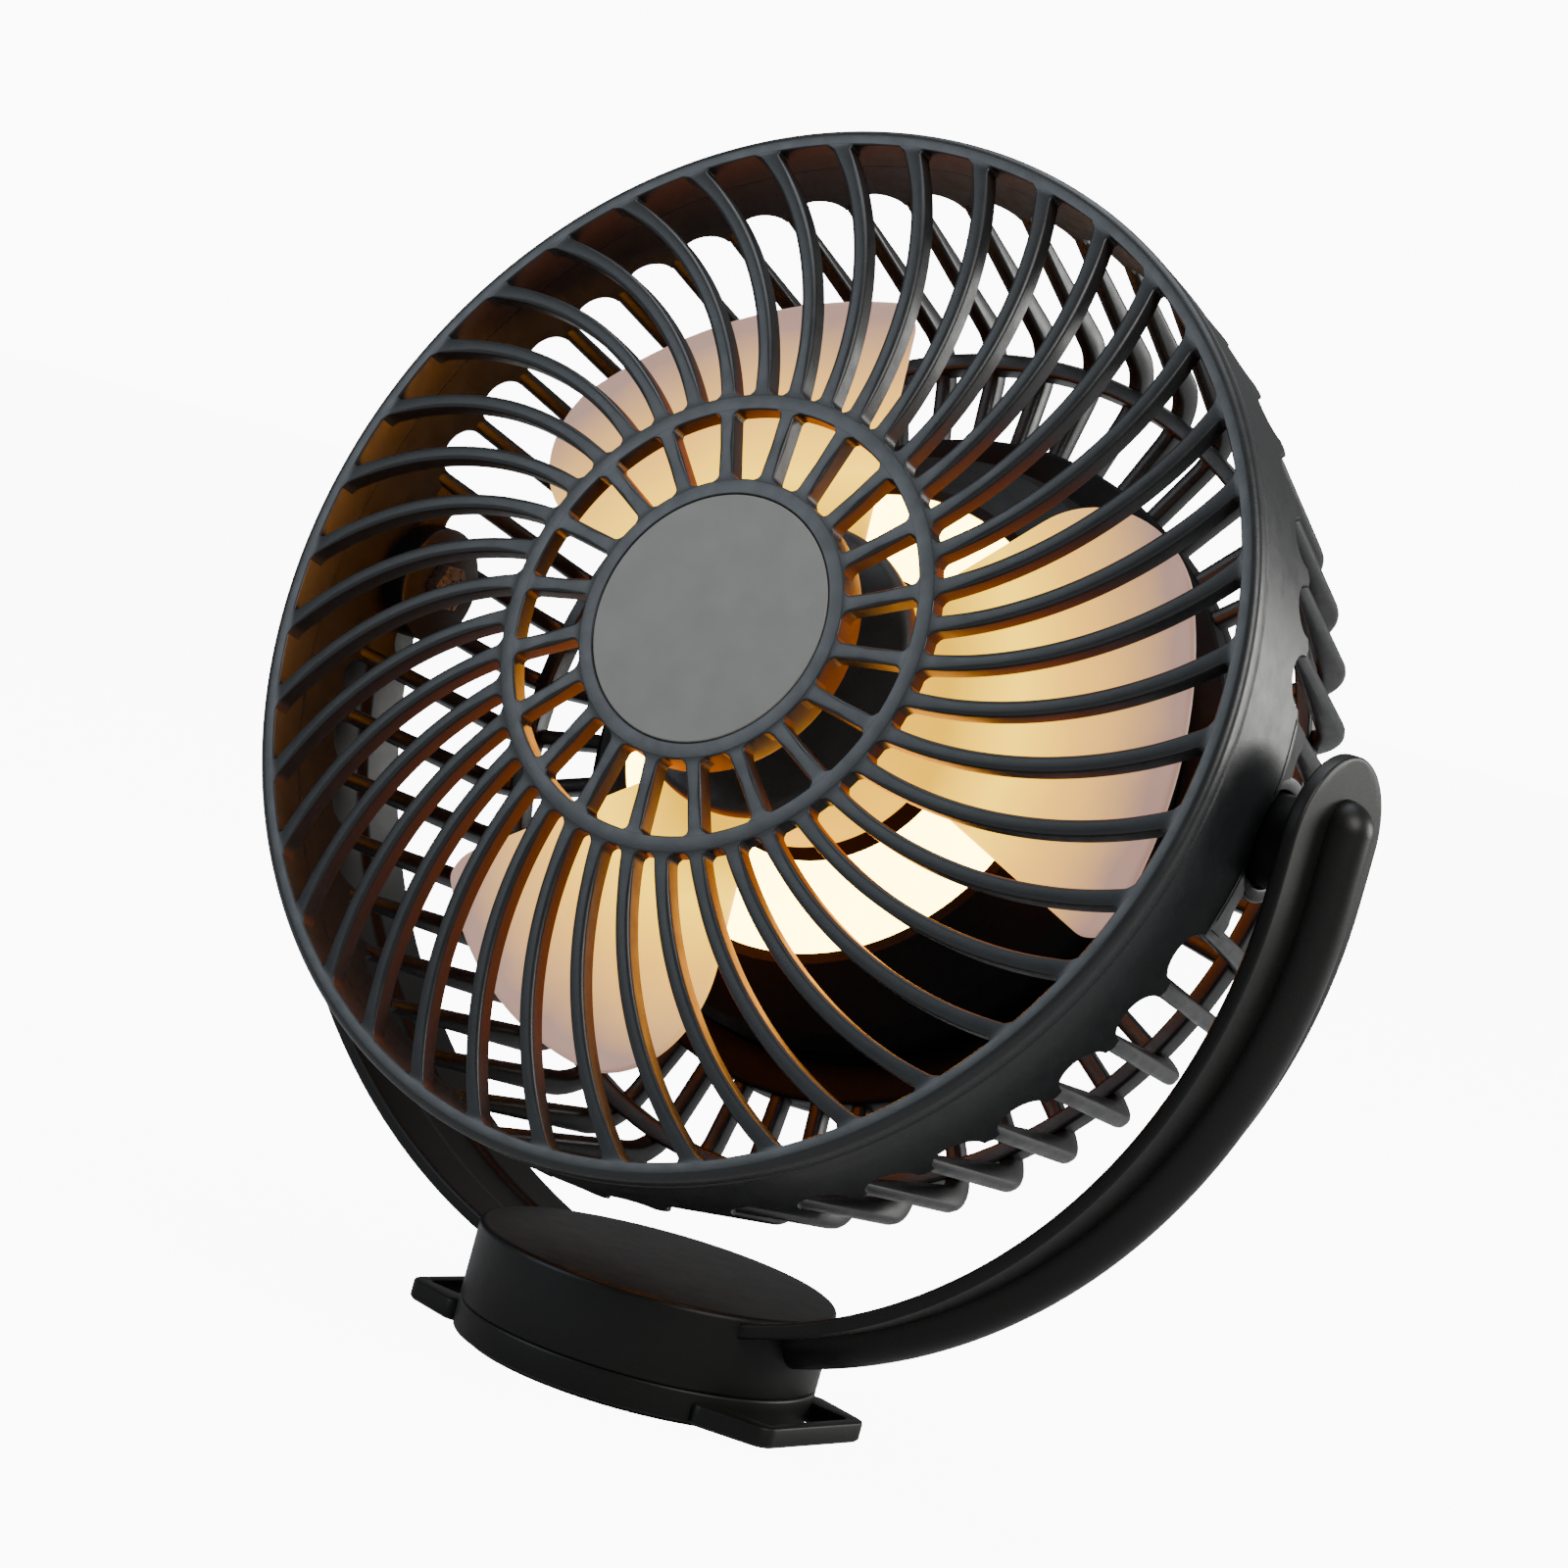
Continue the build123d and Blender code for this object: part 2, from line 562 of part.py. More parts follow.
# Impeller: three curved blades on a cup, with its boss on the shaft
def blade_section(distance, lead_z, trail_z):
    """Curved section of a blade, square to its middle line at a distance from the fan axis."""
    half = distance * tan(radians(BLADE_SPAN / 2 + 4))
    low = BLADE_THICK / 2
    sag = (lead_z + trail_z) / 2 - BLADE_CAMBER
    with BuildSketch(Plane.YZ.offset(distance)) as section:
        with BuildLine():
            ThreePointArc((-half, lead_z - low), (0, sag - low), (half, trail_z - low))
            Line((half, trail_z - low), (half, trail_z + low))
            ThreePointArc((half, trail_z + low), (0, sag + low), (-half, lead_z + low))
            Line((-half, lead_z + low), (-half, lead_z - low))
        make_face()
    return section.sketch


near = HUB_R / 2
far = BLADE_TIP_R * 1.1
blade_root_r = HUB_R - HUB_WALL / 2
lead_edge = -BLADE_SPAN / 2
trail_edge = BLADE_SPAN / 2
with BuildPart() as blade:
    loft(
        [
            blade_section(near, BLADE_ROOT_LEAD_Z, BLADE_ROOT_TRAIL_Z),
            blade_section(far, BLADE_TIP_LEAD_Z, BLADE_TIP_TRAIL_Z),
        ],
        ruled=True,
    )
    with BuildSketch() as blade_plan:
        with BuildLine():
            tip = CenterArc((0, 0), BLADE_TIP_R, lead_edge, BLADE_SPAN)
            root = CenterArc((0, 0), blade_root_r, lead_edge, BLADE_SPAN)
            Line(root @ 0, tip @ 0)
            Line(root @ 1, tip @ 1)
        make_face()
        fillet(blade_plan.vertices().sort_by_distance(tip @ 1)[0], BLADE_TRAIL_ROUND)
        fillet(blade_plan.vertices().sort_by_distance(tip @ 0)[0], BLADE_LEAD_ROUND)
    extrude(amount=BLADE_TIP_R, both=True, mode=Mode.INTERSECT)

with BuildPart() as impeller:
    with BuildSketch(Plane.XZ):
        with BuildLine():
            Polyline(
                (0, HUB_FRONT_Z),
                (HUB_R, HUB_FRONT_Z),
                (HUB_R, HUB_BACK_Z),
                (HUB_R - HUB_WALL, HUB_BACK_Z),
                (HUB_R - HUB_WALL, HUB_FRONT_Z - HUB_WEB),
                (BOSS_R, HUB_FRONT_Z - HUB_WEB),
                (BOSS_R, BOSS_BACK_Z),
                (SHAFT_R, BOSS_BACK_Z),
                (SHAFT_R, SHAFT_FRONT_Z),
                (0, SHAFT_FRONT_Z),
                close=True,
            )
        make_face()
    revolve(axis=Axis.Z)
    with PolarLocations(0, BLADE_COUNT, start_angle=90 - BLADE_START - BLADE_SPAN / 2):
        add(blade.part)
write(tilted(impeller.part), "impeller")

with BuildPart() as hub_cap:
    with BuildSketch(Plane.XY.offset(HUB_FRONT_Z)):
        Circle(HUB_CAP_R)
    extrude(amount=HUB_CAP_THICK)
    chamfer(hub_cap.edges().group_by(Axis.Z)[-1], HUB_CAP_ROUND)
write(tilted(hub_cap.part), "hub_cap")

# Battery: cells in a cradle behind the motor
cell_rows = [(row - (CELL_COUNT - 1) / 2) * CELL_PITCH for row in range(CELL_COUNT)]
with BuildPart() as battery_cells:
    with BuildSketch(Plane.YZ.offset(-CELL_LENGTH / 2)):
        with Locations(*[(row, CELL_Z) for row in cell_rows]):
            Circle(CELL_R)
    extrude(amount=CELL_LENGTH)
write(tilted(battery_cells.part), "battery_cells")

with BuildPart() as battery_cradle:
    with BuildSketch(Plane.XY.offset(CRADLE_BACK_Z)):
        Rectangle(2 * CRADLE_HALF_X, 2 * CRADLE_HALF_Y)
    extrude(amount=CRADLE_DEPTH)
    with BuildSketch(Plane.YZ.offset(-CELL_LENGTH / 2 - SLIP)):
        with Locations(*[(row, CELL_Z) for row in cell_rows]):
            Circle(CELL_R + SLIP)
    extrude(amount=CELL_LENGTH + 2 * SLIP, mode=Mode.SUBTRACT)
write(tilted(battery_cradle.part), "battery_cradle")

# Controls: board, switches, charging socket and buttons
with BuildPart() as control_board:
    with BuildSketch(Plane.XY.offset(BOARD_BACK_Z)):
        with Locations((0, (BOARD_TOP_Y + BOARD_LOW_Y) / 2)):
            Rectangle(2 * BOARD_HALF_WIDTH, BOARD_TOP_Y - BOARD_LOW_Y)
    extrude(amount=BOARD_THICK)
write(tilted(control_board.part), "control_board")

with BuildPart() as button_switches:
    with BuildSketch(Plane.XY.offset(BOARD_BACK_Z)):
        with Locations((BUTTON_X, 0), (-BUTTON_X, 0)):
            Rectangle(SWITCH_SIZE, SWITCH_SIZE)
    extrude(amount=-SWITCH_HEIGHT)
write(tilted(button_switches.part), "button_switches")

socket_mouth_y = -(COVER_R - SOCKET_INSET)
socket_mid_z = CRADLE_BACK_Z + SOCKET_HEIGHT / 2
with BuildPart() as charging_socket:
    with BuildSketch(Plane.XZ.offset(-socket_mouth_y)):
        with Locations((0, socket_mid_z)):
            Rectangle(SOCKET_WIDTH, SOCKET_HEIGHT)
    extrude(amount=-SOCKET_LENGTH)
    with BuildSketch(Plane.XZ.offset(-socket_mouth_y)):
        with Locations((0, socket_mid_z)):
            Rectangle(SOCKET_WIDTH - 2 * SOCKET_SHELL, SOCKET_HEIGHT - 2 * SOCKET_SHELL)
            Rectangle(TONGUE_WIDTH, TONGUE_THICK, mode=Mode.SUBTRACT)
    extrude(amount=-(SOCKET_LENGTH - 2 * SOCKET_SHELL), mode=Mode.SUBTRACT)
write(tilted(charging_socket.part), "charging_socket")

for button_name, button_x in (("fan_button", -BUTTON_X), ("lamp_button", BUTTON_X)):
    with BuildPart() as button:
        with BuildSketch(Plane.XY.offset(COVER_BACK_Z - BUTTON_PROUD)):
            with Locations((button_x, 0)):
                Circle(BUTTON_R)
        extrude(amount=DRUM_WALL + BUTTON_PROUD + SLIP)
        chamfer(button.edges().group_by(Axis.Z)[0], BUTTON_PROUD / 2)
        with BuildSketch(Plane.XY.offset(BUTTON_FLANGE_Z)):
            with Locations((button_x, 0)):
                Circle(BUTTON_R + BUTTON_FLANGE)
        extrude(amount=BUTTON_FLANGE_THICK)
    write(tilted(button.part), button_name)

# Back cover, with posts for the cradle
with BuildPart() as back_cover:
    with BuildSketch(Plane.XZ) as cover_profile:
        with BuildLine():
            Polyline(
                (0, COVER_BACK_Z),
                (COVER_R, COVER_BACK_Z),
                (COVER_R, COVER_FLANGE_Z),
                (FLANGE_R, COVER_FLANGE_Z),
                (FLANGE_R, DRUM_END_Z),
                (COVER_IN_R, DRUM_END_Z),
                (COVER_IN_R, COVER_IN_Z),
                (0, COVER_IN_Z),
                close=True,
            )
        make_face()
        chamfer(cover_profile.vertices().sort_by_distance((COVER_R, COVER_BACK_Z))[0], COVER_ROUND)
    revolve(axis=Axis.Z)
    with BuildSketch(Plane.XY.offset(COVER_IN_Z - DRUM_WALL / 2)):
        with GridLocations(2 * (CRADLE_HALF_X - POST_IN_X), 2 * (CRADLE_HALF_Y - POST_IN_Y), 2, 2):
            Rectangle(POST_WIDTH, POST_WIDTH)
    extrude(amount=CRADLE_BACK_Z - COVER_IN_Z + DRUM_WALL / 2)
    with BuildSketch(Plane.XY.offset(COVER_BACK_Z)):
        with Locations((BUTTON_X, 0), (-BUTTON_X, 0)):
            Circle(BUTTON_R + PLAY)
    extrude(amount=DRUM_WALL, mode=Mode.SUBTRACT)
    with BuildSketch(Plane.XZ.offset(COVER_R - 2 * DRUM_WALL)):
        with Locations((0, socket_mid_z)):
            Rectangle(SOCKET_WIDTH + 2 * SLIP, SOCKET_HEIGHT + 2 * SLIP)
    extrude(amount=3 * DRUM_WALL, mode=Mode.SUBTRACT)
write(tilted(back_cover.part), "back_cover")

# Yoke: bowed strap with round ears, a raised spine outside, pivot bosses and the puck
ear_height = EAR_Z - BOW_Z
spine_tip_z = PIVOT_HEIGHT + SPINE_TIP
spine_x = YOKE_OUT_R + SPINE_RISE - SPINE_R
with BuildPart() as yoke:
    with BuildSketch(Plane.XZ):
        with Locations((0, BOW_Z)):
            Circle(YOKE_OUT_R)
            Circle(YOKE_IN_R, mode=Mode.SUBTRACT)
        with Locations((0, BOW_Z + YOKE_OUT_R)):
            Rectangle(4 * YOKE_OUT_R, 2 * YOKE_OUT_R, mode=Mode.SUBTRACT)
        with GridLocations(2 * YOKE_IN_R + YOKE_THICK, 1, 2, 1):
            with Locations((0, BOW_Z + ear_height / 2)):
                Rectangle(YOKE_THICK, ear_height)
    extrude(amount=YOKE_WIDTH / 2, both=True)
    for side in (1, -1):
        with BuildSketch(Plane.YZ.offset(side * YOKE_IN_R)):
            with Locations((0, EAR_Z)):
                Circle(YOKE_WIDTH / 2)
        extrude(amount=side * YOKE_THICK)
    chamfer(yoke.edges().filter_by(lambda edge: edge.length > YOKE_WIDTH * 1.2), YOKE_ROUND)
    with BuildSketch(Plane.XY.offset(BOW_Z)):
        with Locations((spine_x, 0)):
            Circle(SPINE_R)
            with Locations((-SPINE_R, 0)):
                Rectangle(2 * SPINE_R, 4 * SPINE_R, mode=Mode.SUBTRACT)
    revolve(axis=Axis((0, 0, BOW_Z), (0, 1, 0)), revolution_arc=180)
    for side in (1, -1):
        with BuildSketch(Plane.XY.offset(BOW_Z)):
            with Locations((side * spine_x, 0)):
                Circle(SPINE_R)
                with Locations((-side * SPINE_R, 0)):
                    Rectangle(2 * SPINE_R, 4 * SPINE_R, mode=Mode.SUBTRACT)
        extrude(amount=spine_tip_z - BOW_Z)
        with BuildSketch(Plane.XZ):
            with Locations((side * spine_x, spine_tip_z)):
                Circle(SPINE_R)
                with Locations((0, -SPINE_R), (-side * SPINE_R, 0)):
                    Rectangle(2 * SPINE_R, 2 * SPINE_R, mode=Mode.SUBTRACT)
        revolve(axis=Axis((side * spine_x, 0, spine_tip_z), (1, 0, 0)))
        with BuildSketch(Plane.YZ.offset(side * BOSS_END_X)):
            with Locations((0, PIVOT_HEIGHT)):
                Circle(YOKE_BOSS_R)
        extrude(amount=side * (YOKE_IN_R + YOKE_THICK / 2 - BOSS_END_X))
        with BuildSketch(Plane.YZ.offset(side * BOSS_END_X)):
            with Locations((0, PIVOT_HEIGHT)):
                Circle(PIVOT_BOLT_R)
        extrude(amount=side * PIVOT_BOLT_DEPTH, mode=Mode.SUBTRACT)
    with BuildSketch(Plane.XY.offset(PUCK_Z)):
        Circle(BASE_R)
    extrude(amount=BASE_HEIGHT - PUCK_Z)
    with BuildSketch(Plane.XY.offset(PUCK_Z)):
        Circle(SWIVEL_BOLT_R)
    extrude(amount=SWIVEL_BOLT_DEPTH, mode=Mode.SUBTRACT)
write(yoke.part, "yoke")

# Pivot bolts from inside the head
with BuildPart() as pivot_bolts:
    head_x = PAD_INNER_X - SLIP
    for side in (1, -1):
        with BuildSketch(Plane.YZ.offset(side * head_x)):
            with Locations((0, PIVOT_HEIGHT)):
                RegularPolygon(PIVOT_HEAD_R, 6)
        extrude(amount=-side * PIVOT_HEAD_THICK)
        with BuildSketch(Plane.YZ.offset(side * head_x)):
            with Locations((0, PIVOT_HEIGHT)):
                Circle(PIVOT_BOLT_R)
        extrude(amount=side * (BOSS_END_X + PIVOT_BOLT_DEPTH - head_x))
write(pivot_bolts.part, "pivot_bolts")

# Base plate with a strap loop on each side, its foot pad and the swivel hardware
with BuildPart() as base_plate:
    with BuildSketch(Plane.XY.offset(PLATE_FOOT_Z)):
        Circle(BASE_R)
    extrude(amount=PLATE_TOP_Z - PLATE_FOOT_Z)
    for side in (1, -1):
        with BuildSketch(Plane.XY.offset(PLATE_FOOT_Z)):
            with BuildLine():
                Polyline(
                    (0, -LOOP_ROOT_HALF),
                    (side * (BASE_R - LOOP_BAR), -LOOP_ROOT_HALF),
                    (side * LOOP_X, -LOOP_HALF),
                    (side * LOOP_X, LOOP_HALF),
                    (side * (BASE_R - LOOP_BAR), LOOP_ROOT_HALF),
                    (0, LOOP_ROOT_HALF),
                    close=True,
                )
            make_face()
            with Locations((side * (LOOP_X - LOOP_BAR - BASE_R / 2), 0)):
                Rectangle(BASE_R, 2 * SLOT_HALF, mode=Mode.SUBTRACT)
            Circle(BASE_R - LOOP_BAR)
        extrude(amount=LOOP_TOP_Z - PLATE_FOOT_Z)
    with BuildSketch(Plane.XY.offset(PLATE_FOOT_Z)):
        Circle(SWIVEL_WELL_R)
    extrude(amount=SWIVEL_WELL_Z - PLATE_FOOT_Z, mode=Mode.SUBTRACT)
    with BuildSketch(Plane.XY.offset(SWIVEL_WELL_Z)):
        Circle(SWIVEL_BOLT_R + RUN)
    extrude(amount=SWIVEL_WEB, mode=Mode.SUBTRACT)
write(base_plate.part, "base_plate")

with BuildPart() as foot_pad:
    with BuildSketch():
        Circle(BASE_R - PAD_EDGE)
    extrude(amount=PLATE_FOOT_Z)
write(foot_pad.part, "foot_pad")

with BuildPart() as swivel_bolt:
    with BuildSketch(Plane.XY.offset(SWIVEL_WELL_Z - SWIVEL_HEAD_THICK)):
        Circle(SWIVEL_HEAD_R)
    extrude(amount=SWIVEL_HEAD_THICK)
    with BuildSketch(Plane.XY.offset(SWIVEL_WELL_Z)):
        Circle(SWIVEL_BOLT_R)
    extrude(amount=PUCK_Z + SWIVEL_BOLT_DEPTH - SWIVEL_WELL_Z)
write(swivel_bolt.part, "swivel_bolt")
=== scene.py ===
import logging
from dataclasses import dataclass, field
from enum import Enum
from functools import cache
from math import cos, pi, radians, sin, tan
from typing import Any, Callable, Sequence

import bmesh
import bpy
import numpy as np
from mathutils import Matrix, Vector


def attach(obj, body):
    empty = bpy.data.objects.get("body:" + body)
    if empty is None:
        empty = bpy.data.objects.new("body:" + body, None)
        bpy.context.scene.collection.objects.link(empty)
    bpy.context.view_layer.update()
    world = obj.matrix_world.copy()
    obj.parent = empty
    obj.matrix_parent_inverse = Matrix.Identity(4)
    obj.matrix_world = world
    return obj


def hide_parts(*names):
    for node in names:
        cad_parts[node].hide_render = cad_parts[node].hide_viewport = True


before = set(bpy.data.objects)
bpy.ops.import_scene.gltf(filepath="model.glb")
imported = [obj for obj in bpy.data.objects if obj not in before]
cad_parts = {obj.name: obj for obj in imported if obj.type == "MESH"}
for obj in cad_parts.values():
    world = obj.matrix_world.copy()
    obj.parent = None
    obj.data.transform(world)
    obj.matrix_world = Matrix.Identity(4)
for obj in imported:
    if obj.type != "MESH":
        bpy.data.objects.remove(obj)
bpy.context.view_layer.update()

MM = 0.001
AXIS = 0.001  # radius, or share of one, at which an outline closes on the axis
MIRROR_X = np.array([-1, 1, 1])
NOISE_LOW, NOISE_HIGH = 0.3, 0.7  # most values of a noise texture lie between these
MIX_FACTOR, MIX_A, MIX_B, MIX_RESULT = 0, 6, 7, 2  # sockets of a colour mix, whose names repeat
WHITE = (1, 1, 1, 1)
SHARP = radians(38.0)  # edges that bend by more stay sharp
WELD = 1e-6  # points closer than this, in metres, become one
GLOSS_FINER = 9.0  # how many times finer the gloss drifts than the tone
Array = np.ndarray
Colour = tuple[float, float, float]
Corner = tuple[float, float, float]
Stops = Sequence[tuple[float, Colour]]
LOG = logging.getLogger("golf_cart_fan")


class Body(Enum):
    """Rigid bodies of the fan that a new piece rides on."""

    BASE = "base"
    YOKE = "yoke"
    HEAD = "head"
    ROTOR = "rotor"


@dataclass(frozen=True)
class HeadFrame:
    """Where the head stands: its tilt axis and how far it looks up."""

    pivot_height: float = 107.6
    tilt: float = 15.0

    def set_down(self, points: Array) -> Array:
        """Carry points to the object's frame, at the rest tilt.

        Args:
            points: array whose last axis is x, y, z about the fan axis.

        Returns:
            The points in the object's frame.
        """
        c, s = cos(radians(self.tilt)), sin(radians(self.tilt))
        right_top_front = np.array([(1, 0, 0), (0, s, c), (0, -c, s)], dtype=float)
        return points @ right_top_front + np.array([0, 0, self.pivot_height])


HEAD = HeadFrame()


def joined(*parts: Array | float) -> Array:
    """Join coordinates, spread to one shape, along a new last axis."""
    return np.stack(np.broadcast_arrays(*parts), axis=-1)


def around(radius: Array, angle: Array, height: Array) -> Array:
    """Set points about the Z axis: x = r cos a, y = r sin a, z = h."""
    return joined(radius * np.cos(angle), radius * np.sin(angle), height)


def unit(angle: Array) -> Array:
    """Give the plan directions at angles in radians."""
    return joined(np.cos(angle), np.sin(angle))


def crowded(steps: int) -> Array:
    """Give shares from 0 to 1 that lie closer together at both ends."""
    return 0.5 - 0.5 * np.cos(np.linspace(0, pi, steps))


def evenly(count: int, shift: float = 0.0) -> Array:
    """Give angles set evenly round a circle, moved on by a share of their step."""
    return (np.arange(count) + shift) * 2 * pi / count


def arch(radius: float, across: Array) -> Array:
    """Give the height of a circle beside its middle, and 0 outside it."""
    return np.sqrt(np.maximum(radius**2 - across**2, 0))


def eased(share: Array) -> Array:
    """Soften a share from 0 to 1 at both ends: three of its squares less two of its cubes."""
    return share * share * (3 - 2 * share)


def flare(distance: Array, radius: float) -> Array:
    """Widen a bar near what carries it, as a fillet of the given radius does."""
    return radius - arch(radius, radius - np.clip(distance, 0, radius))


def pinched(section: Array) -> Array:
    """Draw the points of a section together in its middle."""
    return np.broadcast_to(section.mean(axis=-2, keepdims=True), section.shape)


def rounded(corners: Sequence[Corner], closed: bool = True, steps: int = 6) -> Array:
    """Round the corners of an outline with arcs that touch both of their sides.

    Args:
        corners: x, y and radius of each corner.
        closed: whether the last corner joins the first.
        steps: points on each arc.

    Returns:
        Points of the rounded outline, shape (n, 2).
    """
    spots = np.array([c[:2] for c in corners], dtype=float)
    pieces = []
    for number, (x, y, radius) in enumerate(corners):
        here = np.array([x, y])
        at_end = not closed and number in (0, len(corners) - 1)
        if radius <= 0 or at_end:
            pieces.append(here[None])
            continue
        back = spots[number - 1] - here
        ahead = spots[(number + 1) % len(corners)] - here
        back /= np.linalg.norm(back)
        ahead /= np.linalg.norm(ahead)
        half = np.arccos(np.clip(back @ ahead, -1, 1)) / 2
        middle = here + (back + ahead) / np.linalg.norm(back + ahead) * radius / sin(half)
        first = here + back * radius / tan(half) - middle
        last = here + ahead * radius / tan(half) - middle
        start = np.arctan2(first[1], first[0])
        sweep = (np.arctan2(last[1], last[0]) - start + pi) % (2 * pi) - pi
        pieces.append(middle + radius * unit(start + sweep * np.linspace(0, 1, steps)))
    return np.concatenate(pieces)


def on_clock(radius: float, clock: float) -> Array:
    """Give the plan point at a clock angle in degrees, from the top as seen in front."""
    angle = radians(90 - clock)
    return np.array([radius * cos(angle), radius * sin(angle)])


def arc_through(first: Array, middle: Array, last: Array, share: Array) -> Array:
    """Follow the circle through three plan points.

    Args:
        first: point at share 0.
        middle: a point between.
        last: point at share 1.
        share: how far along each wanted point lies.

    Returns:
        Points on the arc, shape (n, 2).
    """
    rows = 2 * np.array([middle - first, last - first])
    sums = np.array([middle @ middle - first @ first, last @ last - first @ first])
    centre = np.linalg.solve(rows, sums)
    start = np.arctan2(*(first - centre)[::-1])
    sweep = (np.arctan2(*(last - centre)[::-1]) - start + pi) % (2 * pi) - pi
    return centre + np.linalg.norm(first - centre) * unit(start + sweep * share)


def spun(points: Array, turns: Array) -> Array:
    """Turn a grid about the fan axis once for each angle.

    Args:
        points: one grid, shape (nu, nv, 3).
        turns: angles in radians.

    Returns:
        Grids of shape (copies, nu, nv, 3).
    """
    c, s, o = np.cos(turns), np.sin(turns), np.zeros_like(turns)
    turn = np.stack([joined(c, s, o), joined(-s, c, o), joined(o, o, o + 1)], axis=-2)
    return np.einsum("uvi,kij->kuvj", points, turn)


def lathe(profile: Array, steps: int) -> Array:
    """Turn a profile of radius and height about the Z axis."""
    return around(profile[:, 0], evenly(steps)[:, None], profile[:, 1])


def pivot_pair(corners: Sequence[Corner]) -> Array:
    """Turn an outline of radius and reach about the X axis, for the right pivot and the left."""
    right = lathe(rounded(corners), 96)[..., [2, 0, 1]]
    return np.stack([right, right * MIRROR_X])


def put(name: str, data: bpy.types.ID) -> bpy.types.Object:
    """Make an object and put it into the scene.

    Args:
        name: the object's name.
        data: its mesh, light or camera.

    Returns:
        The object.
    """
    made = bpy.data.objects.new(name, data)
    bpy.context.scene.collection.objects.link(made)
    return made


class Shell:
    """Gathers grids of points into one mesh and writes it as a finished object."""

    def __init__(self, place: Callable[[Array], Array] | None = None) -> None:
        """Start an empty shell.

        Args:
            place: carries points to the object's frame, or None where they are already in it.
        """
        self.place = place
        self.points: list[Array] = []
        self.quads: list[Array] = []
        self.count = 0

    def grid(self, points: Array, wrap_u: bool = False, wrap_v: bool = False) -> "Shell":
        """Add a grid as quads between neighbours along u and v.

        Args:
            points: shape (nu, nv, 3), or (copies, nu, nv, 3) for several alike.
            wrap_u: whether the last row joins the first.
            wrap_v: whether the last column joins the first.

        Returns:
            This shell, so that calls can follow each other.
        """
        several = points if points.ndim == 4 else points[None]
        copies, nu, nv = several.shape[:3]
        index = np.arange(nu * nv).reshape(nu, nv)
        index = np.vstack([index, index[:1]]) if wrap_u else index
        index = np.hstack([index, index[:, :1]]) if wrap_v else index
        one = joined(index[:-1, :-1], index[1:, :-1], index[1:, 1:], index[:-1, 1:]).reshape(-1, 4)
        start = self.count + np.arange(copies) * nu * nv
        self.quads.append((one[None] + start[:, None, None]).reshape(-1, 4))
        self.points.append(several.reshape(-1, 3))
        self.count += copies * nu * nv
        return self

    def ring(self, points: Array) -> "Shell":
        """Add a grid, or several, closed along both u and v."""
        return self.grid(points, wrap_u=True, wrap_v=True)

    def turned(self, corners: Sequence[Corner], steps: int) -> "Shell":
        """Add a closed outline with rounded corners, turned about the Z axis."""
        return self.ring(lathe(rounded(corners), steps))

    def tube(self, points: Array) -> "Shell":
        """Add a closed section, v, carried along a path, u, with both ends drawn shut."""
        first, last = pinched(points[..., :1, :, :]), pinched(points[..., -1:, :, :])
        return self.grid(np.concatenate([first, points, last], axis=-3), wrap_v=True)

    def finish(self, name: str, body: Body, slot: str, finish: "Finish", *nodes: str) -> None:
        """Write the gathered grids as one object.

        Args:
            name: the object's name.
            body: the rigid body that it rides on.
            slot: the record's material slot that it belongs to; not used.
            finish: its finish.
            nodes: CAD nodes that it stands for.
        """
        points = np.concatenate(self.points)
        points = (self.place(points) if self.place else points) * MM
        quads = np.concatenate(self.quads).astype(np.int32)
        mesh = bpy.data.meshes.new(name)
        mesh.vertices.add(len(points))
        mesh.vertices.foreach_set("co", points.astype(np.float32).ravel())
        mesh.loops.add(quads.size)
        mesh.loops.foreach_set("vertex_index", quads.ravel())
        mesh.polygons.add(len(quads))
        mesh.polygons.foreach_set("loop_start", np.arange(0, quads.size, 4, dtype=np.int32))
        mesh.update(calc_edges=True)
        mended = bmesh.new()
        mended.from_mesh(mesh)
        bmesh.ops.remove_doubles(mended, verts=mended.verts, dist=WELD)
        bmesh.ops.recalc_face_normals(mended, faces=mended.faces)
        mended.to_mesh(mesh)
        mended.free()
        mesh.polygons.foreach_set("use_smooth", np.ones(len(mesh.polygons), dtype=bool))
        mesh.set_sharp_from_angle(angle=SHARP)
        piece = put(name, mesh)
        mesh.materials.append(finish.material())
        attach(piece, body.value)
        if nodes:
            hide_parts(*nodes)
        LOG.info("%s: %d faces on %s", name, len(mesh.polygons), body.value)


def add_node(tree: bpy.types.NodeTree, kind: str, inputs: dict[str | int, Any] | None = None,
             **settings: Any) -> bpy.types.Node:
    """Add a node to a tree.

    Args:
        tree: the tree of a group, a material or the world.
        kind: the node's type.
        inputs: values of its inputs, by name or number.
        settings: values of its own properties, which are set before the inputs.

    Returns:
        The node.
    """
    node = tree.nodes.new(kind)
    for label, value in settings.items():
        setattr(node, label, value)
    for socket, value in (inputs or {}).items():
        node.inputs[socket].default_value = value
    return node


def wire(tree: bpy.types.NodeTree, *links: tuple) -> None:
    """Link sockets of a tree, each link given as node, output, node and input."""
    for start, output, end, socket in links:
        tree.links.new(start.outputs[output], end.inputs[socket])


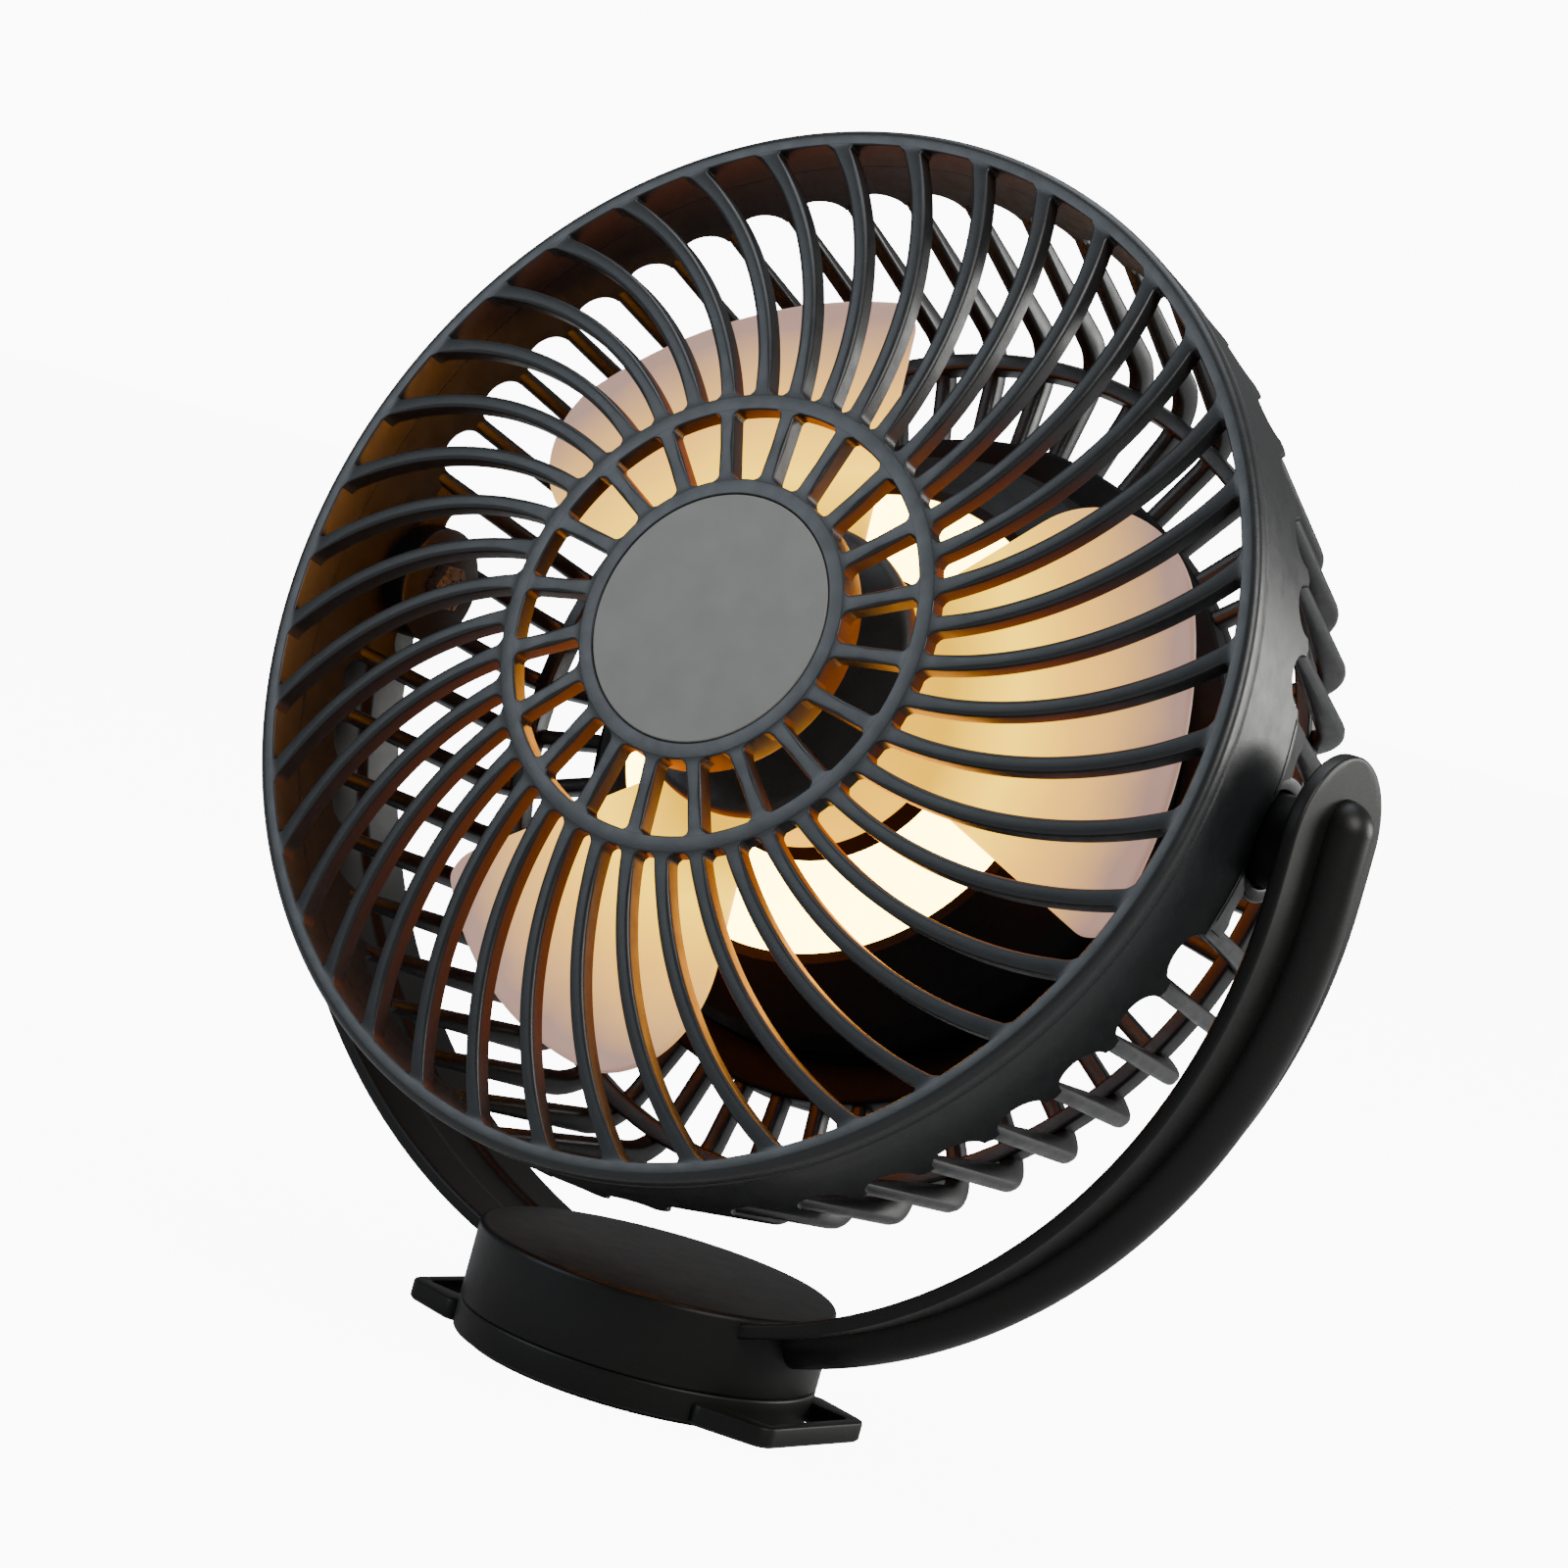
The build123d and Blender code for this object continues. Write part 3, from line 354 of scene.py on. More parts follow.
def socket_group(name: str, inputs: dict[str, float], outputs: Sequence[str]) -> tuple:
    """Make an empty shader group that takes a Vector and some numbers and gives numbers.

    Args:
        name: the group's name.
        inputs: name and default of each number that it takes.
        outputs: names of the numbers that it gives.

    Returns:
        The group, its input node and its output node.
    """
    group = bpy.data.node_groups.new(name, "ShaderNodeTree")
    group.interface.new_socket("Vector", in_out="INPUT", socket_type="NodeSocketVector")
    for label, default in inputs.items():
        socket = group.interface.new_socket(label, in_out="INPUT", socket_type="NodeSocketFloat")
        socket.default_value = default
    for label in outputs:
        group.interface.new_socket(label, in_out="OUTPUT", socket_type="NodeSocketFloat")
    return group, group.nodes.new("NodeGroupInput"), group.nodes.new("NodeGroupOutput")


class Effects:
    """Shader groups that several finishes share, each built at its first use."""

    @staticmethod
    @cache
    def moulded_grain() -> bpy.types.NodeTree:
        """Spark-eroded mould grain: fine bumps, and a slow drift of tone and gloss.

        Returns:
            A group with the outputs Height, Tone and Gloss.
        """
        group, take, give = socket_group(
            "moulded_grain", {"Scale": 2500.0, "Drift": 40.0}, ("Height", "Tone", "Gloss"))
        fine, slow, middle = (
            add_node(group, "ShaderNodeTexNoise", {"Detail": detail}) for detail in (2.0, 3.0, 4.0))
        times = add_node(group, "ShaderNodeMath", {1: GLOSS_FINER}, operation="MULTIPLY")
        wire(
            group, *((take, "Vector", noise, "Vector") for noise in (fine, slow, middle)),
            (take, "Scale", fine, "Scale"), (take, "Drift", slow, "Scale"),
            (take, "Drift", times, 0), (times, 0, middle, "Scale"),
            (fine, "Fac", give, "Height"), (slow, "Fac", give, "Tone"),
            (middle, "Fac", give, "Gloss"),
        )
        return group

    @staticmethod
    @cache
    def axis_reach() -> bpy.types.NodeTree:
        """Distance from the fan axis as a share of a reach: length of x and y, over the reach.

        Returns:
            A group with the output Share, 0 on the axis and 1 at the reach.
        """
        group, take, give = socket_group("axis_reach", {"Reach": 0.07}, ("Share",))
        split = add_node(group, "ShaderNodeSeparateXYZ")
        flat = add_node(group, "ShaderNodeCombineXYZ")
        size = add_node(group, "ShaderNodeVectorMath", operation="LENGTH")
        over = add_node(group, "ShaderNodeMath", operation="DIVIDE", use_clamp=True)
        wire(
            group, (take, "Vector", split, 0), (split, "X", flat, "X"), (split, "Y", flat, "Y"),
            (flat, 0, size, 0), (size, "Value", over, 0), (take, "Reach", over, 1),
            (over, 0, give, "Share"),
        )
        return group


def blank_material(name: str, inputs: dict[str, Any]) -> tuple[bpy.types.Material, bpy.types.Node]:
    """Make a material with a lone Principled shader.

    Args:
        name: the material's name.
        inputs: values of the shader's inputs.

    Returns:
        The material and its shader.
    """
    material = bpy.data.materials.new(name)
    material.use_nodes = True
    tree = material.node_tree
    tree.nodes.clear()
    shader = add_node(tree, "ShaderNodeBsdfPrincipled", inputs)
    wire(tree, (shader, 0, add_node(tree, "ShaderNodeOutputMaterial"), 0))
    return material, shader


def ramp_between(tree: bpy.types.NodeTree, stops: Stops) -> bpy.types.Node:
    """Add a colour ramp to a tree.

    Args:
        tree: the material's tree.
        stops: place and colour of each stop.

    Returns:
        The ramp's node.
    """
    ramp = add_node(tree, "ShaderNodeValToRGB")
    bar = ramp.color_ramp
    while len(bar.elements) < len(stops):
        bar.elements.new(0.5)
    for element, (place, colour) in zip(bar.elements, stops):
        element.position = place
        element.color = (*colour, 1.0)
    return ramp


def grained(finish: "Moulded | Glowing", inputs: dict[str, Any]) -> tuple:
    """Make a material whose shader has the mould grain as a bump.

    Args:
        finish: what gives its name and the grain's scale, drift, strength and depth.
        inputs: values of the shader's inputs.

    Returns:
        The material, its shader, the coordinates and the grain.
    """
    material, shader = blank_material(finish.name, inputs)
    tree = material.node_tree
    where = add_node(tree, "ShaderNodeTexCoord")
    grain = add_node(tree, "ShaderNodeGroup", {"Scale": finish.grain, "Drift": finish.drift},
                     node_tree=Effects.moulded_grain())
    bump = add_node(tree, "ShaderNodeBump", {"Strength": finish.bump, "Distance": finish.depth})
    wire(
        tree, (where, "Object", grain, "Vector"), (grain, "Height", bump, "Height"),
        (bump, "Normal", shader, "Normal"),
    )
    return material, shader, where, grain


@dataclass(frozen=True)
class Moulded:
    """Moulded plastic or plain metal with a fine mould grain."""

    name: str
    low: Colour
    high: Colour
    rough_low: float
    rough_high: float
    grain: float = 2600.0
    depth: float = 0.00002
    drift: float = 35.0
    metallic: float = 0.0
    specular: float = 0.5
    bump: float = 0.6

    def material(self) -> bpy.types.Material:
        """Build the material: tone and gloss drift slowly, and the grain is a bump.

        Returns:
            The material.
        """
        material, shader, _, grain = grained(
            self, {"Metallic": self.metallic, "Specular IOR Level": self.specular})
        tree = material.node_tree
        tone = ramp_between(tree, ((NOISE_LOW, self.low), (NOISE_HIGH, self.high)))
        gloss = add_node(tree, "ShaderNodeMapRange", {
            "From Min": NOISE_LOW, "From Max": NOISE_HIGH,
            "To Min": self.rough_low, "To Max": self.rough_high,
        })
        wire(
            tree, (grain, "Tone", tone, "Fac"), (grain, "Gloss", gloss, "Value"),
            (tone, "Color", shader, "Base Color"), (gloss, "Result", shader, "Roughness"),
        )
        return material


@dataclass(frozen=True)
class Glowing:
    """Frosted plastic whose glow is painted as emission, brighter towards the fan axis: on the
    lamp's lens it is the lamp's own light, on the blades it is painted light for the lamp shining
    through them.
    """

    name: str
    skin: Stops
    glow: Stops
    strength: float
    cast: Colour
    reach: float = 70.0
    roughness: float = 0.55
    specular: float = 0.25
    grain: float = 1800.0
    drift: float = 90.0
    cloud: float = 0.04
    bump: float = 0.4
    depth: float = 0.00002

    def material(self) -> bpy.types.Material:
        """Build the material: skin and glow follow the distance from the axis, a little clouded; on
        the blades both are painted light.

        The light that falls on other pieces is the glow times the cast colour, so the blades'
        painted glow also lights the inside of the head.

        Returns:
            The material.
        """
        material, shader, where, grain = grained(self, {
            "Emission Strength": self.strength, "Roughness": self.roughness,
            "Specular IOR Level": self.specular,
        })
        tree = material.node_tree
        about = add_node(tree, "ShaderNodeMapping", {
            "Location": (0, 0, HEAD.pivot_height * MM),
            "Rotation": (radians(90 - HEAD.tilt), 0, 0),
        }, vector_type="TEXTURE")
        reach = add_node(tree, "ShaderNodeGroup", {"Reach": self.reach * MM},
                         node_tree=Effects.axis_reach())
        cloud = add_node(tree, "ShaderNodeMapRange", {"To Min": -self.cloud, "To Max": self.cloud})
        share = add_node(tree, "ShaderNodeMath", operation="ADD", use_clamp=True)
        skin, glow = ramp_between(tree, self.skin), ramp_between(tree, self.glow)
        path = add_node(tree, "ShaderNodeLightPath")
        unseen = add_node(tree, "ShaderNodeMath", {0: 1.0}, operation="SUBTRACT")
        tint = add_node(tree, "ShaderNodeMix", {MIX_B: (*self.cast, 1.0)},
                        data_type="RGBA", blend_type="MULTIPLY")
        wire(
            tree, (where, "Object", about, "Vector"), (about, "Vector", reach, "Vector"),
            (grain, "Tone", cloud, "Value"), (reach, "Share", share, 0),
            (cloud, "Result", share, 1), (share, 0, skin, "Fac"), (share, 0, glow, "Fac"),
            (skin, "Color", shader, "Base Color"), (path, "Is Camera Ray", unseen, 1),
            (unseen, 0, tint, MIX_FACTOR), (glow, "Color", tint, MIX_A),
            (tint, MIX_RESULT, shader, "Emission Color"),
        )
        return material


class Finish(Enum):
    """Every finish of the fan."""

    # The guard's base is tinted blue so that it gives back less of the lamp's orange light: painted
    # shade on the walls inside the head.
    GUARD = Moulded("guard_charcoal", (0.0070, 0.0079, 0.0085), (0.0088, 0.0099, 0.0107),
                    0.32, 0.42, specular=0.33)
    BODY = Moulded("body_charcoal", (0.0038, 0.0038, 0.0035), (0.0046, 0.0046, 0.0043),
                   0.39, 0.43, specular=0.19)
    DISC = Moulded("centre_grey", (0.118, 0.115, 0.103), (0.123, 0.120, 0.108),
                   0.5, 0.58, drift=25)
    HUB = Moulded("hub_grey", (0.020, 0.019, 0.018), (0.030, 0.029, 0.028), 0.45, 0.6)
    DRUM = Moulded("drum_black", (0.0030, 0.0030, 0.0030), (0.0040, 0.0040, 0.0040),
                   0.50, 0.60, specular=0.10)
    RUBBER = Moulded("foot_rubber", (0.012, 0.012, 0.012), (0.02, 0.02, 0.02),
                     0.7, 0.85, 1200, 0.00006)
    STEEL = Moulded("bolt_steel", (0.42, 0.42, 0.43), (0.58, 0.58, 0.6),
                    0.24, 0.38, 900, 0.00001, 120, 1.0)
    CAN = Moulded("motor_plate", (0.38, 0.38, 0.40), (0.5, 0.5, 0.52),
                  0.3, 0.45, 700, 0.00001, 90, 1.0)
    BOARD = Moulded("board_green", (0.012, 0.07, 0.03), (0.02, 0.1, 0.045),
                    0.3, 0.45, 1500, 0.00002)
    CELL = Moulded("cell_jacket", (0.03, 0.1, 0.27), (0.045, 0.13, 0.33), 0.28, 0.4, 800, 0.00001)
    BUTTON = Moulded("button_grey", (0.05, 0.05, 0.053), (0.07, 0.07, 0.074), 0.4, 0.5)
    # Painted light: the lamp's light through the blades is painted as emission, yellow near the hub
    # and fading to the tips, and the skin's yellow near the hub is painted with it.
    BLADE = Glowing(
        "blade_frosted_painted_glow",
        ((0.38, (0.08, 0.05, 0.0)), (0.52, (0.52, 0.33, 0.02)),
         (0.75, (0.50, 0.35, 0.24)), (1.0, (0.46, 0.35, 0.31))),
        ((0.37, (0.54, 0.29, 0.0)), (0.53, (0.96, 0.58, 0.0)),
         (0.68, (0.62, 0.31, 0.02)), (0.90, (0.13, 0.072, 0.055))),
        3.2, (1.3, 0.48, 0.3))
    LENS = Glowing(
        "lamp_milky", ((0.3, (0.95, 0.9, 0.8)), (0.6, (0.95, 0.9, 0.8))),
        ((0.3, (1.0, 0.72, 0.12)), (0.6, (1.0, 0.75, 0.14))), 16.0, (0.70, 0.36, 0.10))

    @cache
    def material(self) -> bpy.types.Material:
        """Give the finish's material, built at its first use."""
        return self.value.material()


def bar_section(steps: int = 5) -> tuple[Array, Array, Array, Array]:
    """Section of a guard bar with front corners of radius 1, straight sides and a flat back.

    Args:
        steps: points on each corner.

    Returns:
        For each point its side's sign, its sideways offset from the corner's middle, its height
        below the front, and 1 where it is at the back.
    """
    angle = np.linspace(pi, pi / 2, steps)
    sign = np.concatenate([[-1], -np.ones(steps), np.ones(steps), [1]])
    offset = np.concatenate([[-1], np.cos(angle), -np.cos(angle[::-1]), [1]])
    height = np.concatenate([[0], np.sin(angle) - 1, np.sin(angle[::-1]) - 1, [0]])
    return sign, offset, height, np.concatenate([[1], np.zeros(2 * steps), [1]])


@dataclass
class FrontGuard:
    """Domed front guard with swirling ribs, an inner ring, short ribs and a centre plate."""

    opening: float = 80.0
    rim: float = 82.8
    front: float = 27.2
    rise: float = 7.2
    rim_depth: float = 3.0
    rim_round: float = 1.3
    skirt_depth: float = 4.0
    skirt_wall: float = 1.2
    rib_count: int = 40
    rib_width: float = 2.4
    rib_depth: float = 3.0
    rib_start: float = 4.5
    rib_lead: float = 1.0
    rib_sweep: float = 18.0
    rib_mid_sweep: float = 10.6
    rib_run_on: float = 0.6
    ring: float = 36.0
    ring_width: float = 2.6
    short_count: int = 20
    short_width: float = 2.4
    short_start: float = 13.5
    short_lean: float = 3.5
    short_run_on: float = 2.0
    plate: float = 22.0
    plate_depth: float = 6.0
    plate_round: float = 0.4
    cap: float = 19.4
    cap_gap: float = 0.1
    cap_thick: float = 1.8
    cap_edge: float = 0.3
    cap_round: float = 0.22
    corner: float = 0.7
    end_corner: float = 0.3
    back_corner: float = 0.25
    blend: float = 8.0
    fillet: float = 0.95
    ring_fillet: float = 1.1
    root: float = 0.9
    sink: float = 0.02

    def dome(self, radius: Array | float) -> Array:
        """Height of the front: a ball's cap that falls by its rise from middle to opening."""
        ball = (self.opening**2 + self.rise**2) / (2 * self.rise)
        return self.front + arch(ball, np.minimum(radius, self.opening)) - (ball - self.rise)

    def bars(self, line: Array, width: float, inner: float, outer: float) -> Array:
        """Carry a bar's section along a plan line, cut on circles so that its ends lie in rings.

        The bar's angle follows from the radius along the line, its width beside the line stays
        the same where the line leans, and it widens by a fillet at the edge of each ring.

        Args:
            line: points of the middle line, shape (n, 2), from the outside in.
            width: the bar's width away from its ends.
            inner: edge of the ring that it grows out of at its inner end.
            outer: edge of the ring that it grows out of at its outer end.

        Returns:
            Grid of shape (rows, section, 3).
        """
        sign, offset, height, base = bar_section()
        reach = np.linalg.norm(line, axis=1)[::-1]
        turned = np.unwrap(np.arctan2(line[:, 1], line[:, 0]))[::-1]
        radius = inner - self.root + (outer - inner + 2 * self.root) * crowded(64)
        clock = np.interp(radius, reach, turned)
        lean = np.hypot(1, radius * np.gradient(clock, radius))
        wide = width / 2 * lean
        wide += flare(outer - radius, self.fillet) + flare(radius - inner, self.ring_fillet)
        from_end = np.minimum(outer - radius, radius - inner)
        away = eased(np.clip(from_end / self.blend, 0, 1))
        corner = (self.end_corner + (self.corner - self.end_corner) * away)[:, None]
        lean, wide, radius = lean[:, None], wide[:, None], radius[:, None]
        across = sign * (wide - corner * lean) + offset * corner * lean
        sunk = np.where(from_end < 0, self.sink, 0)[:, None]
        up = self.dome(radius) - sunk + height * corner - base * self.rib_depth
        return around(radius, clock[:, None] + across / radius, up)

    def build(self) -> None:
        """Build the guard and its centre cap."""
        shell = Shell(HEAD.set_down)
        edge, back = self.end_corner, self.front - self.rim_depth
        skirt, skirt_low = self.opening + self.skirt_wall, back - self.skirt_depth
        shell.turned([
            (self.opening, skirt_low, 0), (self.opening, self.front, edge),
            (self.rim, self.front, self.rim_round), (self.rim, back, self.back_corner),
            (skirt, back, 0), (skirt, skirt_low, 0),
        ], 320)
        ring_in, ring_top = self.ring - self.ring_width, self.dome(self.ring)
        ring_low = ring_top - self.rib_depth
        shell.turned([
            (ring_in, ring_low, 0), (ring_in, self.dome(ring_in), edge),
            (self.ring, ring_top, edge), (self.ring, ring_low, 0),
        ], 192)
        line = arc_through(
            on_clock(self.rim, self.rib_start - self.rib_lead),
            on_clock((self.opening + self.ring) / 2, self.rib_start + self.rib_mid_sweep),
            on_clock(ring_in, self.rib_start + self.rib_sweep + self.rib_run_on),
            np.linspace(0, 1, 200))
        bar = self.bars(line, self.rib_width, self.ring, self.opening)
        shell.tube(spun(bar, evenly(self.rib_count)))
        start = on_clock(self.ring, self.short_start)
        end = on_clock(self.plate - self.short_run_on, self.short_start + self.short_lean)
        line = start + (end - start) * np.linspace(0, 1, 100)[:, None]
        bar = self.bars(line, self.short_width, self.plate, ring_in)
        shell.tube(spun(bar, evenly(self.short_count)))
        brim, floor = self.dome(self.plate), self.dome(self.cap) - self.cap_thick
        low, seat = brim - self.plate_depth, self.cap + self.cap_gap
        shell.turned([
            (AXIS, low, 0), (self.plate, low, self.plate_round), (self.plate, brim, edge),
            (seat, self.dome(seat), self.back_corner), (seat, floor, 0), (AXIS, floor, 0),
        ], 160)
        shell.finish("front_guard", Body.HEAD, "charcoal_plastic", Finish.GUARD, "front_grille")
        radius = np.linspace(AXIS, self.cap - self.cap_edge, 24)
        skin = joined(radius, self.dome(radius))
        lip = rounded([
            (*skin[-1], 0), (self.cap, self.dome(self.cap), self.cap_round), (self.cap, floor, 0),
        ], closed=False)
        outline = np.concatenate([skin, lip[1:], [[AXIS, floor]]])
        cap = Shell(HEAD.set_down).ring(lathe(outline, 160))
        cap.finish("centre_disc", Body.HEAD, "grey_plastic", Finish.DISC, "centre_cap")


@dataclass
class RearCage:
    """Band behind the front guard, with round-topped windows, fins, two rings and tilt pads."""

    bore: float = 80.0
    bore_lift: float = 0.1
    rim: float = 82.8
    step: float = 0.3
    edge: float = 0.3
    edge_row: float = 0.9
    crease: float = 18.4
    front: float = 23.9
    lip: float = 20.1
    spigot: float = 81.3
    window_line: float = 6.7
    tuck: float = 0.5
    fins: int = 48
    fin_rise: float = 2.8
    fin_width: float = 2.65
    fin_depth: float = 3.9
    fin_top_depth: float = 1.9
    fin_round: float = 1.1
    fin_lap: float = 2.8
    back_r: float = 75.0
    back_z: float = -33.0
    corner_r: float = 9.93
    corner_step: float = 2.8
    ring_r: float = 70.4
    ring_width: float = 2.8
    ring_depth: float = 4.0
    ring_inset: float = 2.4
    ring_round: float = 0.6
    seat_in: float = 49.5
    seat_width: float = 6.4
    seat_depth: float = 5.0
    pad_windows: int = 3
    pad_line: float = -2.5
    pad_boss: float = 9.4
    pad_fin_top: float = -6.4
    pad_inner: float = 75.5
    pad_lap: float = 0.8
    pad_lift: float = 0.4
    pad_least: float = 0.1
    pad_wall: float = 2.4
    pocket: float = 7.2
    pocket_wall: float = 0.8
    pocket_floor: float = 79.2
    bolt: float = 2.1

    def side(self, height: Array | float) -> Array:
        """Radius of the fins' outside: a straight line from the band's edge to the back."""
        share = (self.window_line - height) / (self.window_line - self.back_z)
        return self.rim - self.step + (self.back_r - self.rim + self.step) * share

    def band(self) -> Array:
        """Wall of the band, whose lower edge rises over each window as a half circle.

        Returns:
            Grid of shape (around, profile, 3).
        """
        outside, edge = self.rim - self.step, self.edge
        half = (2 * pi * outside / self.fins - self.fin_width) / 2
        across = half * np.sin(np.linspace(-pi / 2, pi / 2, 17))
        across = np.append(across, half + self.fin_width / 2)
        rise = arch(half, across)
        rise[-1] = -self.tuck
        window = evenly(self.fins)
        angle = (window[:, None] + across / outside).ravel()[:, None]
        from_pad = np.minimum(window % pi, pi - window % pi)
        open_here = from_pad > radians(self.pad_windows / 2 * 360 / self.fins)
        boss = arch(self.pocket + self.pocket_wall, across) - self.window_line
        on_pad = np.isclose(from_pad, 0)[:, None]
        shut = np.where(on_pad, np.maximum(boss, -self.tuck), -self.tuck)
        low = (self.window_line + np.where(open_here[:, None], rise, shut)).ravel()[:, None]
        profile = np.array([
            (outside - edge, 0, 1), (outside, edge, 1), (outside, self.edge_row, 1),
            (outside, self.crease, 0), (self.rim, self.crease + self.step, 0),
            (self.rim, self.front - edge, 0), (self.rim - edge, self.front, 0),
            (self.spigot, self.front, 0), (self.spigot, self.lip, 0), (self.bore, self.lip, 0),
            (self.bore, self.bore_lift, 1),
        ])
        height = profile[:, 1] + profile[:, 2] * low
        radius = np.tile(profile[:, 0], (len(height), 1))
        radius[:, 0] += np.repeat(np.where(open_here, 0, edge), len(across))
        return around(radius, angle, height)

    def fin(self, top: float) -> Array:
        """One fin on the X axis: a round-edged bar between an outer line and an inner line.

        Args:
            top: height at which the fin starts.

        Returns:
            Grid of shape (along, section, 3).
        """
        end_r = self.seat_in + self.seat_width - self.fin_lap
        start_r = min(self.side(top), self.rim - self.step) - self.edge
        inner_r, inner_z = self.back_r - self.fin_depth, self.back_z + self.fin_depth
        outer = rounded([
            (start_r, top, 0), (self.back_r, self.back_z, self.corner_r), (end_r, self.back_z, 0),
        ], False, 12)
        inner = rounded([
            (start_r - self.fin_top_depth, top, 0),
            (inner_r, inner_z, self.corner_r - self.corner_step), (end_r, inner_z, 0),
        ], False, 12)
        depth = np.linalg.norm(inner - outer, axis=1)[:, None, None]
        inward = ((inner - outer) / depth[:, 0])[:, None]
        turn = evenly(16) + pi / 16
        toward, aside = np.cos(turn)[None, :, None], np.sin(turn)
        along = np.sign(toward) * (depth / 2 - self.fin_round) + self.fin_round * toward
        flat = ((outer + inner) / 2)[:, None] + inward * along
        width = np.sign(aside) * (self.fin_width / 2 - self.fin_round) + self.fin_round * aside
        return joined(flat[..., 0], width, flat[..., 1])

    def pad_walls(self) -> Array:
        """Wall beside each pivot, down to the boss and to one lowered window on either side.

        Returns:
            Grids of shape (4, across, section, 3).
        """
        outside = self.rim - self.step
        pitch = 2 * pi * outside / self.fins
        across = np.linspace(pitch / 2 - self.pad_lap, self.pad_windows * pitch / 2, 48)
        rise = arch((pitch - self.fin_width) / 2, across - pitch)
        rise = self.pad_line + np.where(rise > 0, rise, -self.tuck)
        top = self.window_line + self.pad_lift
        low = np.maximum(arch(self.pad_boss - self.tuck, across), rise)
        low = np.minimum(low, top - self.pad_least)
        height = joined(low, low + self.edge, top, top, low)
        radius = self.side(height) - np.array([self.edge, 0, 0, self.pad_wall, self.pad_wall])
        one = around(radius, (across / outside)[:, None], height)
        both = np.stack([one, one * np.array([1, -1, 1])])
        return np.concatenate([both, both * MIRROR_X])

    def build(self) -> None:
        """Build the cage, and the ring that the drum sits on as a piece of its own, in the drum's
        darker finish as painted shade where the lamp's light falls on it.
        """
        shell = Shell(HEAD.set_down).ring(self.band())
        turns = evenly(self.fins, 0.5)
        by_pad = np.abs(np.sin(turns)) < sin(2 * pi / self.fins)
        shell.tube(spun(self.fin(self.window_line + self.fin_rise), turns[~by_pad]))
        shell.tube(spun(self.fin(self.pad_fin_top), turns[by_pad]))
        low, bend = self.back_z + self.ring_inset, self.ring_round
        ring_in, top = self.ring_r - self.ring_width, low + self.ring_depth
        shell.turned([
            (ring_in, low, bend), (self.ring_r, low, bend), (self.ring_r, top, bend),
            (ring_in, top, bend),
        ], 288)
        out, top = self.seat_in + self.seat_width, self.back_z + self.seat_depth
        seat = Shell(HEAD.set_down).turned([
            (self.seat_in, self.back_z, 0), (out, self.back_z, 0.4), (out, top, 0.8),
            (self.seat_in, top, 0.4),
        ], 240)
        # The seat ring is the cage's own plastic; the drum's darker, duller finish on it is painted
        # shade against the lamp's light.
        seat.finish("rear_seat", Body.HEAD, "charcoal_plastic", Finish.DRUM)
        shell.tube(self.pad_walls())
        end = self.side(0.0)
        shell.ring(pivot_pair([
            (self.bolt, self.pad_inner, 0), (self.pad_boss, self.pad_inner, 0.4),
            (self.pad_boss, end, 0.5), (self.pocket, end, 0.4),
            (self.pocket, self.pocket_floor, 0), (self.bolt, self.pocket_floor, 0),
        ]))
        shell.finish("rear_guard", Body.HEAD, "charcoal_plastic", Finish.GUARD, "rear_cage")


